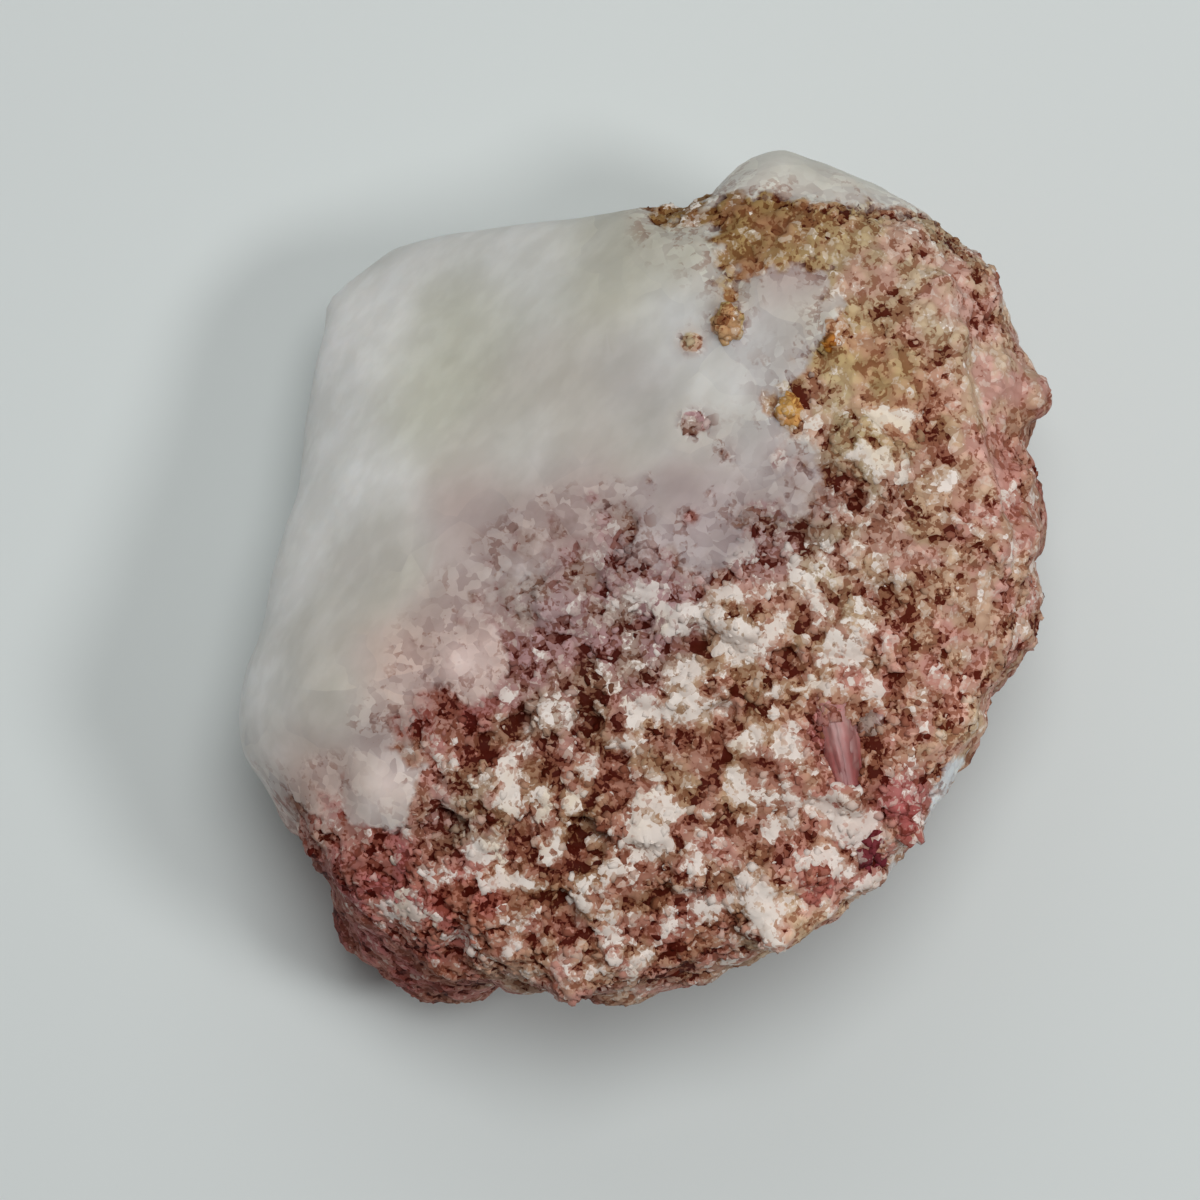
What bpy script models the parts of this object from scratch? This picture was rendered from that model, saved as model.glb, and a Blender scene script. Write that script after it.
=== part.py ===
"""Rough stone of pink tourmaline rock grown together with milky quartz.

One solid, about 39 mm by 42 mm and 23 mm high, standing on a flat broken base.
+X is right, +Y is away, +Z is up, and the origin is at the middle of the underside.
The shaping is worked out in millimetres, and MM turns it into Blender's metres.
"""

import math

import bmesh
import bpy
import numpy as np
from mathutils import Matrix, Vector, noise

MM = 0.001

# The whole stone.
HEIGHT = 23.0
MIDDLE = np.array((0.0, 0.0, 11.0))  # every ray from here leaves the stone once
ROUNDING = 0.6  # how softly two broken faces meet
BODY_DIVISIONS = 7
BODY_KEPT = 0.104  # share of the first triangles that the finished body keeps

# The widest outline seen from above, anticlockwise from the right: x, y, and the
# height at which the wall is widest there.
OUTLINE = (
    (19.6, 1.3, 15), (19.7, 2.9, 15), (19.4, 4.5, 15), (18.4, 5.6, 15),
    (18.7, 7.0, 15), (19.5, 8.4, 15), (18.4, 11.3, 15), (17.5, 12.6, 15),
    (17.2, 13.8, 15), (15.8, 15.6, 15), (14.2, 17.2, 15), (12.3, 18.6, 15),
    (8.9, 20.5, 15), (6.9, 21.2, 15), (4.8, 20.2, 15), (3.3, 18.9, 15),
    (1.7, 17.9, 13), (-0.2, 17.2, 13), (-3.7, 17.4, 13), (-6.6, 17.3, 12),
    (-12.7, 16.9, 12), (-15.3, 15.4, 12), (-16.0, 11.9, 12), (-16.7, 4.4, 12),
    (-18.5, -1.9, 12), (-20.0, -6.8, 12), (-19.7, -8.8, 12), (-18.6, -10.4, 10),
    (-16.9, -12.4, 9), (-16.1, -14.4, 8), (-14.7, -17.4, 8), (-12.8, -19.6, 8),
    (-10.0, -20.6, 8), (-7.0, -20.0, 10), (-5.1, -20.0, 14), (-3.1, -20.8, 15),
    (-0.3, -20.4, 15), (4.7, -19.1, 15), (6.8, -18.2, 15), (10.9, -14.9, 15),
    (13.4, -12.2, 15), (14.1, -10.9, 15), (15.3, -9.3, 15), (16.8, -8.0, 15),
    (16.5, -6.6, 15), (18.1, -4.3, 15), (18.8, -2.6, 15), (18.5, 0.3, 15),
)
NOTCH_REACH = 6.0  # height over which the notches of the outline die away
SOFT_STEPS = np.radians((-24.0, -12.0, 0.0, 12.0, 24.0))
LEAN_ABOVE = 0.08  # share of the width lost between the widest line and the top
LEAN_BELOW = 0.024  # share of the width lost below it, for each mm of its height

# Broken faces: compass direction and tilt of the outward normal in degrees, and
# distance from MIDDLE. A tilt of 0 faces up and 180 faces down.
FACES = {
    "granular top": (-90, 4.0, 10.9),
    "quartz brow": (139, 15.0, 11.2),
    "quartz slope": (130, 36.0, 13.3),
    "quartz left": (155, 46.0, 14.2),
    "cap slope": (72, 50.0, 20.4),
    "right shoulder": (12, 32.0, 17.2),
    "lower right shoulder": (-38, 30.0, 16.7),
    "front shoulder": (-95, 28.0, 16.7),
    "front left shoulder": (215, 35.0, 16.8),
    "under right": (20, 125.0, 16.6),
    "under front": (-70, 130.0, 17.2),
    "under left": (200, 125.0, 18.0),
    "under back": (120, 128.0, 18.2),
    "base": (0, 180.0, 12.4),
}

# Where smooth quartz meets the granular rock, seen from above. The quartz lies to
# the upper left, with one bay that reaches into the top face.
QUARTZ_EDGE = (
    (0.4, 16.4), (3.2, 15.7), (3.5, 14.1), (8.6, 13.6), (8.9, 12.2), (7.8, 10.3),
    (7.1, 8.4), (5.8, 7.4), (7.1, 5.6), (5.7, 3.9), (2.5, 3.2), (-0.3, 3.8),
    (-4.1, 1.9), (-7.3, 0.0), (-9.7, -2.2), (-10.6, -4.1), (-11.8, -5.9),
    (-12.8, -8.0), (-15.4, -8.6), (-30.0, -8.0), (-30.0, 30.0), (-2.0, 30.0),
)
CONTACT = (139, 75.0, 4.5)  # the same boundary deep in the stone, as a broken face
CONTACT_HEIGHTS = (9.0, 15.0)  # between these the one boundary turns into the other
BAY_DROP = 0.45  # how far the bay lies below the grains round it
BAY_MIDDLE = (5.2, 9.6)
BAY_RADIUS = 7.0

# Relief of the granular rock and of the quartz.
LUMPS = ((3.3, 0.85), (1.8, 0.4))  # size and height of each layer of lumps
LUMP_LEVEL = 0.6  # share of a lump's height that stands at the block's surface
LUMP_GROOVE = 0.45  # width of the groove round a lump, as a share of its size
LUMP_TILT = 0.5  # how steeply the flat top of a lump leans
SWELL = (8.0, 0.55)  # size and height of the broad undulation
QUARTZ_SWELL = (7.0, 0.6)
QUARTZ_RIPPLE = (3.6, 0.22)
SEED = Vector((31.7, 12.9, 57.3))

# Dark pits in the granular top: x, y, radius, depth.
PITS = (
    (-6.4, -8.3, 0.9, 0.9), (-3.1, -8.2, 0.9, 0.8), (-7.8, -9.1, 0.8, 0.8),
    (-1.6, -10.0, 0.9, 1.0), (-10.1, -13.2, 1.1, 1.1), (-6.2, -13.4, 0.8, 0.9),
    (-2.8, -13.8, 1.3, 1.2), (3.8, -7.7, 0.9, 0.9), (3.4, -8.9, 0.7, 0.8),
    (5.3, -13.7, 0.9, 1.0), (-0.3, -3.0, 0.9, 0.8), (7.1, -4.9, 1.0, 0.7),
    (9.7, 2.7, 0.9, 0.7), (10.6, -9.3, 1.1, 1.0), (-9.4, -18.8, 1.0, 0.9),
    (2.5, -3.7, 0.9, 0.7), (11.8, -1.8, 1.0, 0.7), (-4.1, -17.2, 1.0, 0.9),
    (2.0, -16.2, 0.9, 0.8), (8.0, -12.1, 0.8, 0.7), (11.4, 9.4, 1.0, 0.7),
)

# The pink ridge along the right of the top face.
RIDGE = ((13.9, 12.6), (15.0, 8.4), (15.9, 4.6), (16.0, 0.6))
RIDGE_WIDTH = 0.9
RIDGE_HEIGHT = 0.75

# Pale ledges that stand above the grains: x, y, half length, half width, turn.
LEDGES = (
    (1.6, -6.4, 2.9, 0.9, 5), (-0.5, -12.6, 1.2, 2.2, 80), (9.6, -2.9, 1.4, 1.2, 30),
    (3.7, -2.6, 2.6, 1.3, 0), (-4.3, -7.4, 1.3, 0.8, 10), (8.0, -10.7, 2.1, 0.8, -20),
    (-7.0, -12.0, 2.4, 0.8, 60), (7.1, -14.9, 2.0, 0.9, 5), (5.4, -17.2, 1.2, 1.3, 40),
)
LEDGE_HEIGHT = 0.4

# Tourmaline prisms: name, middle, direction (compass, rise), length, width.
PRISMS = (
    ("striated prism", (9.0, -8.8, 20.5), (-77, 2), 6.0, 1.9),
    ("second prism", (10.5, -8.4, 20.3), (-74, 0), 4.6, 1.3),
    ("deep pink crystal", (11.7, -11.7, 19.5), (-62, -8), 3.2, 2.1),
    ("magenta crystal", (10.1, -13.2, 19.2), (-100, -8), 2.8, 1.3),
    ("front crystal", (7.8, -15.2, 19.0), (-60, -8), 3.2, 1.6),
    ("edge crystal", (17.0, 4.0, 18.6), (20, -20), 2.8, 1.8),
    ("left crystal", (-14.6, -12.0, 17.2), (200, -20), 3.0, 1.7),
    ("front flake", (-3.4, -19.2, 17.9), (-98, -12), 2.8, 2.6),
)
PRISM_SIDES = 9
PRISM_ROUND = (1.0, 0.93, 0.93)  # the nine sides bulge like a rounded triangle
TIP_LENGTH = 0.35  # of the width
TIP_WIDTH = 0.55

# Single grains and knobs: name, middle, radii, turn.
KNOBS = (
    ("brown knob", (3.8, 11.2, 20.7), (0.75, 1.0, 1.1), 0),
    ("tan grain", (2.0, 10.3, 20.2), (0.75, 0.55, 0.9), 40),
    ("pink grain", (2.0, 6.3, 20.7), (0.7, 0.95, 1.0), 10),
    ("honey grain", (6.6, 7.1, 21.0), (0.7, 1.05, 1.1), -10),
    ("rust grain", (8.6, 10.2, 21.4), (0.7, 0.6, 1.0), 20),
    ("round lump", (-12.5, -10.0, 18.2), (1.5, 1.4, 1.5), 0),
    ("pale lozenge", (-14.9, -11.0, 17.2), (1.3, 0.6, 1.0), -15),
    ("pale patch", (-8.4, -4.6, 19.7), (1.4, 1.0, 1.2), 20),
    ("right knob", (18.2, 8.2, 17.0), (1.3, 1.3, 1.5), 0),
    ("low right knob", (17.7, -2.9, 16.8), (1.1, 1.2, 1.6), 0),
    ("white flake", (13.9, -9.9, 17.6), (0.8, 1.7, 0.8), -32),
)
KNOB_DIVISIONS = 2
KNOB_BUMP = 0.3  # of the radius
KNOB_BUMP_RATE = 1.9

STONE_COLOUR = (0.40, 0.22, 0.17, 1.0)
STONE_ROUGHNESS = 0.6
CREASE = math.radians(28)


def normal_of(compass, tilt):
    """Outward unit normal of a face from its compass direction and tilt."""
    turn = math.radians(compass)
    lean = math.radians(tilt)
    flat = math.sin(lean)
    return np.array((flat * math.cos(turn), flat * math.sin(turn), math.cos(lean)))


def ramp(value, low, high):
    """0 below low, 1 above high, and smooth between them."""
    share = np.clip((value - low) / (high - low), 0.0, 1.0)
    return share * share * (3.0 - 2.0 * share)


def face_distance(points, face):
    """Distance of points outside one broken face."""
    compass, tilt, distance = face
    return (points - MIDDLE) @ normal_of(compass, tilt) - distance


def wall_distance(points):
    """Distance of points outside the wall that follows OUTLINE."""
    around = np.arctan2(points[:, 1], points[:, 0])
    level = outline_value(around, [z for _, _, z in OUTLINE])
    reach = [math.hypot(x, y) for x, y, _ in OUTLINE]
    sharp = outline_value(around, reach)
    soft = np.mean([outline_value(around + step, reach) for step in SOFT_STEPS], axis=0)
    height = points[:, 2]
    fade = np.exp(-(((height - level) / NOTCH_REACH) ** 2))
    radius = soft + (sharp - soft) * fade
    above = np.clip((height - level) / (HEIGHT - level), 0.0, 2.0)
    below = np.clip((level - height) / level, 0.0, 1.2)
    share = 1.0 - LEAN_ABOVE * above**2 - LEAN_BELOW * level * below**2
    return np.hypot(points[:, 0], points[:, 1]) - radius * share


def outline_value(around, values):
    """A value given at each point of OUTLINE, read at any compass angles."""
    angles = np.array([math.atan2(y, x) for x, y, _ in OUTLINE])
    return np.interp(around, angles, values, period=2.0 * math.pi)


def stone_distance(points):
    """Smooth distance of points outside the unweathered block."""
    layers = [face_distance(points, face) for face in FACES.values()]
    layers.append(wall_distance(points))
    stack = np.stack(layers)
    top = stack.max(axis=0)
    return top + ROUNDING * np.log(np.exp((stack - top) / ROUNDING).sum(axis=0))


def surface_points(directions, offset):
    """Points along the rays from MIDDLE that lie offset outside the block."""
    near = np.zeros(len(directions))
    far = np.full(len(directions), 40.0)
    for _ in range(30):
        middle = (near + far) / 2.0
        outside = stone_distance(MIDDLE + directions * middle[:, None]) > offset
        far = np.where(outside, middle, far)
        near = np.where(outside, near, middle)
    return MIDDLE + directions * near[:, None]


def edge_distance(points):
    """Distance in plan from QUARTZ_EDGE, positive on the quartz side."""
    edge = np.array(QUARTZ_EDGE)
    flat = points[:, :2]
    nearest = np.full(len(points), 1e9)
    inside = np.zeros(len(points), dtype=bool)
    for start, end in zip(edge, np.roll(edge, -1, axis=0)):
        run = end - start
        share = np.clip((flat - start) @ run / (run @ run), 0.0, 1.0)
        gap = np.hypot(*(flat - start - share[:, None] * run).T)
        nearest = np.minimum(nearest, gap)
        if start[1] != end[1]:
            crossing = (flat[:, 1] - start[1]) / run[1] * run[0] + start[0]
            between = (start[1] > flat[:, 1]) != (end[1] > flat[:, 1])
            inside ^= between & (flat[:, 0] < crossing)
    return np.where(inside, nearest, -nearest)


def quartz_share(points):
    """1 on the milky quartz, 0 on the granular rock."""
    deep = face_distance(points, CONTACT)
    blend = ramp(points[:, 2], *CONTACT_HEIGHTS)
    return ramp(edge_distance(points) * blend + deep * (1.0 - blend), -0.4, 0.6)


def swell(points, size):
    """Broad undulation between about -1 and 1."""
    scaled = points / size
    return np.array([noise.noise(Vector(spot) + SEED) for spot in scaled])


def lumps(points, size):
    """Crystal lumps between 0 and 1: tilted flat tops parted by grooves."""
    heights = np.empty(len(points))
    for index, spot in enumerate(points / size):
        place = Vector(spot) + SEED
        gaps, cells = noise.voronoi(place)
        facing = noise.cell_vector(cells[0] * 5.3) * 2.0 - Vector((1.0, 1.0, 1.0))
        rise = 0.5 + 0.5 * noise.cell(cells[0] * 9.1)
        flank = min(1.0, (gaps[1] - gaps[0]) / LUMP_GROOVE)
        heights[index] = flank * (rise + LUMP_TILT * (place - cells[0]).dot(facing))
    return heights


def round_patch(points, x, y, radius):
    """1 at the middle of a round patch seen from above, fading to 0 at its edge."""
    return 1.0 - ramp(np.hypot(points[:, 0] - x, points[:, 1] - y), radius * 0.3, radius)


def top_share(points):
    """1 on the upper surface, 0 on the walls and underside."""
    return ramp(points[:, 2], 15.5, 17.5)


def ledges(points):
    """Height of the pale ledges."""
    height = np.zeros(len(points))
    for x, y, half_length, half_width, turn in LEDGES:
        angle = math.radians(turn)
        east = points[:, 0] - x
        north = points[:, 1] - y
        along = (east * math.cos(angle) + north * math.sin(angle)) / half_length
        across = (north * math.cos(angle) - east * math.sin(angle)) / half_width
        patch = 1.0 - ramp(np.hypot(along, across), 0.75, 1.15)
        height = np.maximum(height, patch * LEDGE_HEIGHT)
    return height


def ridge(points):
    """Height of the pink ridge."""
    nearest = np.full(len(points), 1e9)
    line = np.array(RIDGE)
    for start, end in zip(line[:-1], line[1:]):
        run = end - start
        share = np.clip((points[:, :2] - start) @ run / (run @ run), 0.0, 1.0)
        gap = np.hypot(*(points[:, :2] - start - share[:, None] * run).T)
        nearest = np.minimum(nearest, gap)
    return RIDGE_HEIGHT * np.exp(-((nearest / RIDGE_WIDTH) ** 2))


def pits(points):
    """Depth of the dark pits."""
    depth = np.zeros(len(points))
    for x, y, radius, drop in PITS:
        depth = np.maximum(depth, drop * round_patch(points, x, y, radius))
    return depth


def relief(points):
    """How far the weathered surface stands off the block at each point."""
    quartz = quartz_share(points)
    top = top_share(points)
    rock = SWELL[1] * swell(points, SWELL[0])
    for size, height in LUMPS:
        rock += height * (lumps(points, size) - LUMP_LEVEL)
    rock += top * (ridge(points) + ledges(points) - pits(points))
    smooth = QUARTZ_SWELL[1] * swell(points, QUARTZ_SWELL[0])
    smooth += QUARTZ_RIPPLE[1] * swell(points, QUARTZ_RIPPLE[0])
    smooth -= BAY_DROP * top * round_patch(points, *BAY_MIDDLE, BAY_RADIUS)
    return quartz * smooth + (1.0 - quartz) * rock


def body_mesh():
    """The stone's body: a ball pushed out to the block and then weathered."""
    shape = bmesh.new()
    bmesh.ops.create_icosphere(shape, subdivisions=BODY_DIVISIONS, radius=1.0)
    directions = np.array([vert.co.normalized() for vert in shape.verts])
    block = surface_points(directions, 0.0)
    weathered = surface_points(directions, relief(block))
    for vert, point in zip(shape.verts, weathered):
        vert.co = Vector(point) * MM
    return finish_mesh(shape, "stone")


def finish_mesh(shape, name):
    """Turn a bmesh into a mesh with its faces pointing out."""
    bmesh.ops.recalc_face_normals(shape, faces=shape.faces)
    mesh = bpy.data.meshes.new(name)
    shape.to_mesh(mesh)
    shape.free()
    return mesh


def prism_mesh(name, length, width):
    """A tourmaline prism along X, with a short flat-ended tip at each end."""
    shape = bmesh.new()
    radius = width / 2.0
    body = length - 2.0 * TIP_LENGTH * width
    bmesh.ops.create_cone(
        shape, cap_ends=True, segments=PRISM_SIDES,
        radius1=radius, radius2=radius, depth=body,
    )
    for index, vert in enumerate(shape.verts):
        bulge = PRISM_ROUND[(index // 2) % len(PRISM_ROUND)]
        vert.co.x *= bulge
        vert.co.y *= bulge
    caps = [face for face in shape.faces if abs(face.normal.z) > 0.9]
    for cap in caps:
        side = math.copysign(1.0, cap.normal.z)
        raised = bmesh.ops.extrude_discrete_faces(shape, faces=[cap])["faces"][0]
        for vert in raised.verts:
            vert.co.x *= TIP_WIDTH
            vert.co.y *= TIP_WIDTH
            vert.co.z += side * TIP_LENGTH * width
    shape.transform(Matrix.Rotation(math.pi / 2.0, 4, "Y"))
    shape.transform(Matrix.Scale(MM, 4))
    return finish_mesh(shape, name)


def knob_mesh(name, radii):
    """A faceted rounded grain."""
    shape = bmesh.new()
    bmesh.ops.create_icosphere(shape, subdivisions=KNOB_DIVISIONS, radius=1.0)
    for vert in shape.verts:
        bump = 1.0 + KNOB_BUMP * noise.noise(vert.co * KNOB_BUMP_RATE + SEED)
        vert.co = Vector([part * size * bump * MM for part, size in zip(vert.co, radii)])
    return finish_mesh(shape, name)


def block_mesh(name, size):
    """A box of the given size."""
    shape = bmesh.new()
    bmesh.ops.create_cube(shape, size=1.0)
    for vert in shape.verts:
        vert.co = Vector([part * side * MM for part, side in zip(vert.co, size)])
    return finish_mesh(shape, name)


def add_object(name, mesh, collection):
    """Put a mesh in the scene under its name."""
    thing = bpy.data.objects.new(name, mesh)
    collection.objects.link(thing)
    return thing


def add_tool(name, mesh, collection, middle, turn, rise=0.0):
    """Place a shape that a Boolean joins to the stone or cuts from it."""
    tool = add_object(name, mesh, collection)
    tool.location = Vector(middle) * MM
    tool.rotation_euler = (0.0, -math.radians(rise), math.radians(turn))
    tool.hide_render = True
    tool.display_type = "WIRE"
    return tool


def add_boolean(target, tool, operation):
    """Join a tool to the target or cut it away."""
    step = target.modifiers.new(tool.name, "BOOLEAN")
    step.operation = operation
    step.solver = "EXACT"
    step.object = tool


def add_grown_pieces(stone, collection):
    """Join the prisms and the knobs to the stone."""
    for name, middle, (compass, rise), length, width in PRISMS:
        mesh = prism_mesh(name, length, width)
        add_boolean(stone, add_tool(name, mesh, collection, middle, compass, rise), "UNION")
    for name, middle, radii, turn in KNOBS:
        mesh = knob_mesh(name, radii)
        add_boolean(stone, add_tool(name, mesh, collection, middle, turn), "UNION")


def cut_base(stone, collection):
    """Cut the stone off flat where it stands."""
    mesh = block_mesh("base cut", (60.0, 60.0, 10.0))
    add_boolean(stone, add_tool("base cut", mesh, collection, (0.0, 0.0, -5.0), 0), "DIFFERENCE")


def stone_material():
    """Pink-brown rock."""
    material = bpy.data.materials.new("pink rock")
    material.use_nodes = True
    shader = material.node_tree.nodes["Principled BSDF"]
    shader.inputs["Base Color"].default_value = STONE_COLOUR
    shader.inputs["Roughness"].default_value = STONE_ROUGHNESS
    shader.inputs["Metallic"].default_value = 0.0
    return material


def build_stone(parts, cutters):
    """The whole stone, one body."""
    mesh = body_mesh()
    mesh.materials.append(stone_material())
    stone = add_object("stone", mesh, parts)
    fewer = stone.modifiers.new("fewer faces", "DECIMATE")
    fewer.ratio = BODY_KEPT
    add_grown_pieces(stone, cutters)
    cut_base(stone, cutters)
    mesh.shade_smooth()
    mesh.set_sharp_from_angle(angle=CREASE)
    return stone


def clear_scene():
    """Remove every object that the file opened with."""
    for thing in list(bpy.data.objects):
        bpy.data.objects.remove(thing, do_unlink=True)


def new_collection(name):
    """A collection linked to the scene."""
    collection = bpy.data.collections.new(name)
    bpy.context.scene.collection.children.link(collection)
    return collection


def main():
    clear_scene()
    parts = new_collection("pink tourmaline with quartz")
    cutters = new_collection("shapes that join or cut")
    build_stone(parts, cutters)


main()
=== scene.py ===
"""Looks of the rough stone: sugary pink tourmaline rock grown together with milky quartz.

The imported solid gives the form. The stone is remeshed finely from it, and crystal grains,
coloured inclusions and a striated prism grow on it. Lengths are in millimetres unless a name
says otherwise, and MM turns them into Blender's metres. Places are as seen from above, with
+X to the right and +Y away.
"""

import math

import bmesh
import bpy
import numpy as np
from mathutils import Matrix, Vector, noise
from mathutils.bvhtree import BVHTree


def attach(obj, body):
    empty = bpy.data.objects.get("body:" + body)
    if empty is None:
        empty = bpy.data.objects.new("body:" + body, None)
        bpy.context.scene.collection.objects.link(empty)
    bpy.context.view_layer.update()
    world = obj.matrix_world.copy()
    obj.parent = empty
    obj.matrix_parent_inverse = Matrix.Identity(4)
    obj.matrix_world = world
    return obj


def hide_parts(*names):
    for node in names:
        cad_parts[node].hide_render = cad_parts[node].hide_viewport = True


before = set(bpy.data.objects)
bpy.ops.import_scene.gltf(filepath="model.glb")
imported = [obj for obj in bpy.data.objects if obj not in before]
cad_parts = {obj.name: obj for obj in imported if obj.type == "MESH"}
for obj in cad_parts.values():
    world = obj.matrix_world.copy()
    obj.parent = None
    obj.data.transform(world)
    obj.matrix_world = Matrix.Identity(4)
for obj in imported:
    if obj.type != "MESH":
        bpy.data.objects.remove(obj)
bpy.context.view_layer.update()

MM = 0.001
SEED = 7

# Camera and light.
VIEW_TARGET = (-2.2, -1.1, 14.0)
VIEW_DISTANCE = 250.0
VIEW_RISE = 84.0  # degrees above the horizon
VIEW_WIDTH = 57.6  # what the frame spans at the target
SENSOR_WIDTH = 36.0
FLOOR_SIZE = 900.0
FLOOR_COLOUR = (0.7, 0.742, 0.733)
LIGHT_TARGET = (0.0, 0.0, 10.0)
LAMPS = (  # name, place, size, watts
    ("key", (206.0, -50.0, 339.0), 90.0, 0.42),
    ("fill", (25.0, 50.0, 420.0), 170.0, 0.74),
    ("back", (-40.0, 290.0, 290.0), 350.0, 0.22),
)
SKY_COLOUR = (0.97, 0.99, 1.0)
SKY_STRENGTH = 0.12

# How finely the stone is remeshed, and how it is smoothed then.
VOXEL = 0.28
QUARTZ_KEPT = 0.15  # share of the faces kept where the quartz is smooth
ROCK_SMOOTHING = 0.35
QUARTZ_SMOOTHING = 0.2  # more than the rock's
SMOOTH_QUARTZ = (0.55, 30)  # strength and rounds, over the quartz alone
SMOOTH_ROCK = (0.5, 2)  # the same, over the refined rock
ROCK_TO_QUARTZ = (-0.3, 0.8)  # distances in mm into the quartz between which the two mix
TOP_FROM = 15.0  # height above which the upward faces of the rock are refined
TOP_SLOPE = 0.35  # least rise of a refined face's normal

# Heights between which one thing gives way to another, upwards unless it is said.
BASE_HEIGHTS = (0.15, 0.6)  # the flat base to the fine relief
WALL_HEIGHTS = (14.0, 17.0)  # the plain walls to the mottled top
RED_HEIGHTS = (12.0, 17.0)  # the redder walls to the tints of the top
PIT_HEIGHTS = (15.0, 17.0)
CHIP_HEIGHTS = (13.0, 8.0)  # downwards, from smooth to chipped quartz

# Where smooth quartz meets the granular rock. The quartz lies to the upper left, with
# one bay that reaches into the top face.
QUARTZ_EDGE = (
    (0.4, 16.4), (3.2, 15.7), (3.5, 14.1), (8.6, 13.6), (8.9, 12.2), (7.8, 10.3), (7.1, 8.4),
    (5.8, 7.4), (7.6, 5.6), (8.0, 3.9), (6.2, 1.8), (4.2, 1.0), (2.2, -0.4), (0.2, -1.0), (-1.7, 0.9),
    (-4.1, 1.2), (-6.9, -0.6), (-8.3, -1.9), (-9.7, -3.8), (-10.3, -6.0), (-11.9, -7.2), (-11.9, -8.8),
    (-10.9, -10.0), (-11.8, -11.5), (-13.6, -11.4), (-14.1, -10.7), (-15.9, -11.3), (-18.3, -11.0),
    (-30.0, -11.6), (-30.0, 30.0), (-2.0, 30.0),
)
CAP_EDGE = (
    (3.0, 17.2), (3.2, 19.4), (5.0, 24.0), (10.0, 24.0), (15.5, 20.0), (19.5, 15.0), (18.6, 13.8),
    (16.6, 15.3), (14.2, 17.1), (12.4, 17.3), (10.2, 17.4), (7.3, 17.5), (4.7, 17.8), (3.9, 17.9),
)
CAP_HEIGHTS = (7.0, 11.0)
CAP_SHRINK = 4.0  # how far the cap's line draws in below those heights
CONTACT_NORMAL = (-0.729, 0.634, 0.259)  # the same boundary deep in the stone
CONTACT_POINT = (0.0, 0.0, 11.0)
CONTACT_DISTANCE = 4.5
CONTACT_HEIGHTS = (9.0, 15.0)
EDGE_WANDER = 0.9
CAP_WANDER = 0.4  # share of EDGE_WANDER

# Where the quartz is thin: x, y, reach, how much thinner.
QUARTZ_THIN = (
    (-1.5, 1.8, 1.3, 2.2), (1.9, 2.0, 0.9, 2.4), (6.1, 4.5, 0.6, 2.6), (-0.3, -1.0, 0.9, 1.6),
    (5.0, 2.0, 1.2, 1.6), (3.6, 4.9, 0.55, 3.6), (6.6, 6.6, 1.0, 1.0), (0.1, 3.7, 0.5, 3.6),
    (0.9, 0.4, 0.7, 1.8), (-2.7, 3.0, 0.5, 2.6), (3.0, 3.2, 0.4, 3.0), (3.8, 11.1, 0.9, 5.5),
    (3.9, 12.6, 0.38, 2.4), (2.0, 10.3, 0.75, 6.0), (2.0, 6.4, 1.0, 6.0),
)

# Small places where quartz shows in the rock: x, y, z, reach.
QUARTZ_SPOTS = (
    (14.1, -9.6, 18.0, 1.2), (15.4, -9.2, 15.2, 1.8), (13.2, -11.0, 17.6, 0.9),
    (11.6, -14.4, 17.5, 0.8), (17.6, -0.7, 18.0, 0.7), (-12.4, -10.3, 18.6, 2.2),
    (-7.9, -4.9, 20.0, 1.7), (-9.4, -3.9, 20.0, 1.2), (-14.2, -9.6, 17.6, 1.6),
)

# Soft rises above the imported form: x, y, z, reach, height.
SWELLS = (
    (-14.4, -16.2, 7.0, 3.6, 0.9), (-10.0, -19.6, 6.0, 3.0, 0.5), (5.4, 19.2, 14.5, 1.5, 0.5),
    (8.4, 20.0, 14.0, 1.3, 0.25), (0.1, -12.9, 20.6, 1.2, -0.55), (-12.9, -10.2, 18.4, 0.8, 0.75),
    (-11.9, -10.6, 18.4, 0.75, 0.65), (-12.2, -9.7, 18.4, 0.6, 0.35), (-8.9, -4.9, 20.2, 0.95, 0.45),
)

# Colours of the granular rock, as light that each mineral gives back, but for the two glows, which are
# painted light on the lower rim and on the shaded lower-left wall.
PINK = (0.47, 0.235, 0.18)
DEEP_PINK = (0.4, 0.14, 0.13)
ROSE = (0.5, 0.285, 0.22)
BROWN = (0.36, 0.19, 0.125)
LIGHT_ROSE = (0.59, 0.36, 0.285)
PALE_ROSE = (0.585, 0.39, 0.31)
PALE_TAN = (0.68, 0.465, 0.34)
RIDGE_TAN = (0.82, 0.58, 0.47)
DUSTY = (0.5, 0.375, 0.275)
DUSTY_BROWN = (0.44, 0.26, 0.18)
GOLD_BROWN = (0.42, 0.26, 0.13)
OLIVE_BROWN = (0.27, 0.15, 0.06)
KNOB_BROWN = (0.54, 0.36, 0.17)
TAN = (0.5, 0.31, 0.2)
OCHRE = (0.49, 0.32, 0.16)
MAUVE = (0.385, 0.262, 0.255)
RED_BROWN = (0.44, 0.165, 0.125)
WALL_RED = (0.36, 0.115, 0.1)
# Painted light: a bright tan that lightens the steep lower rim, as if lit from the right.
PAINTED_RIM_LIGHT = (0.86, 0.62, 0.5)
# Painted glow: a bright pink that lightens the shaded lower-left wall, as if light shone through it.
PAINTED_PINK_GLOW = (0.66, 0.29, 0.27)

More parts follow.
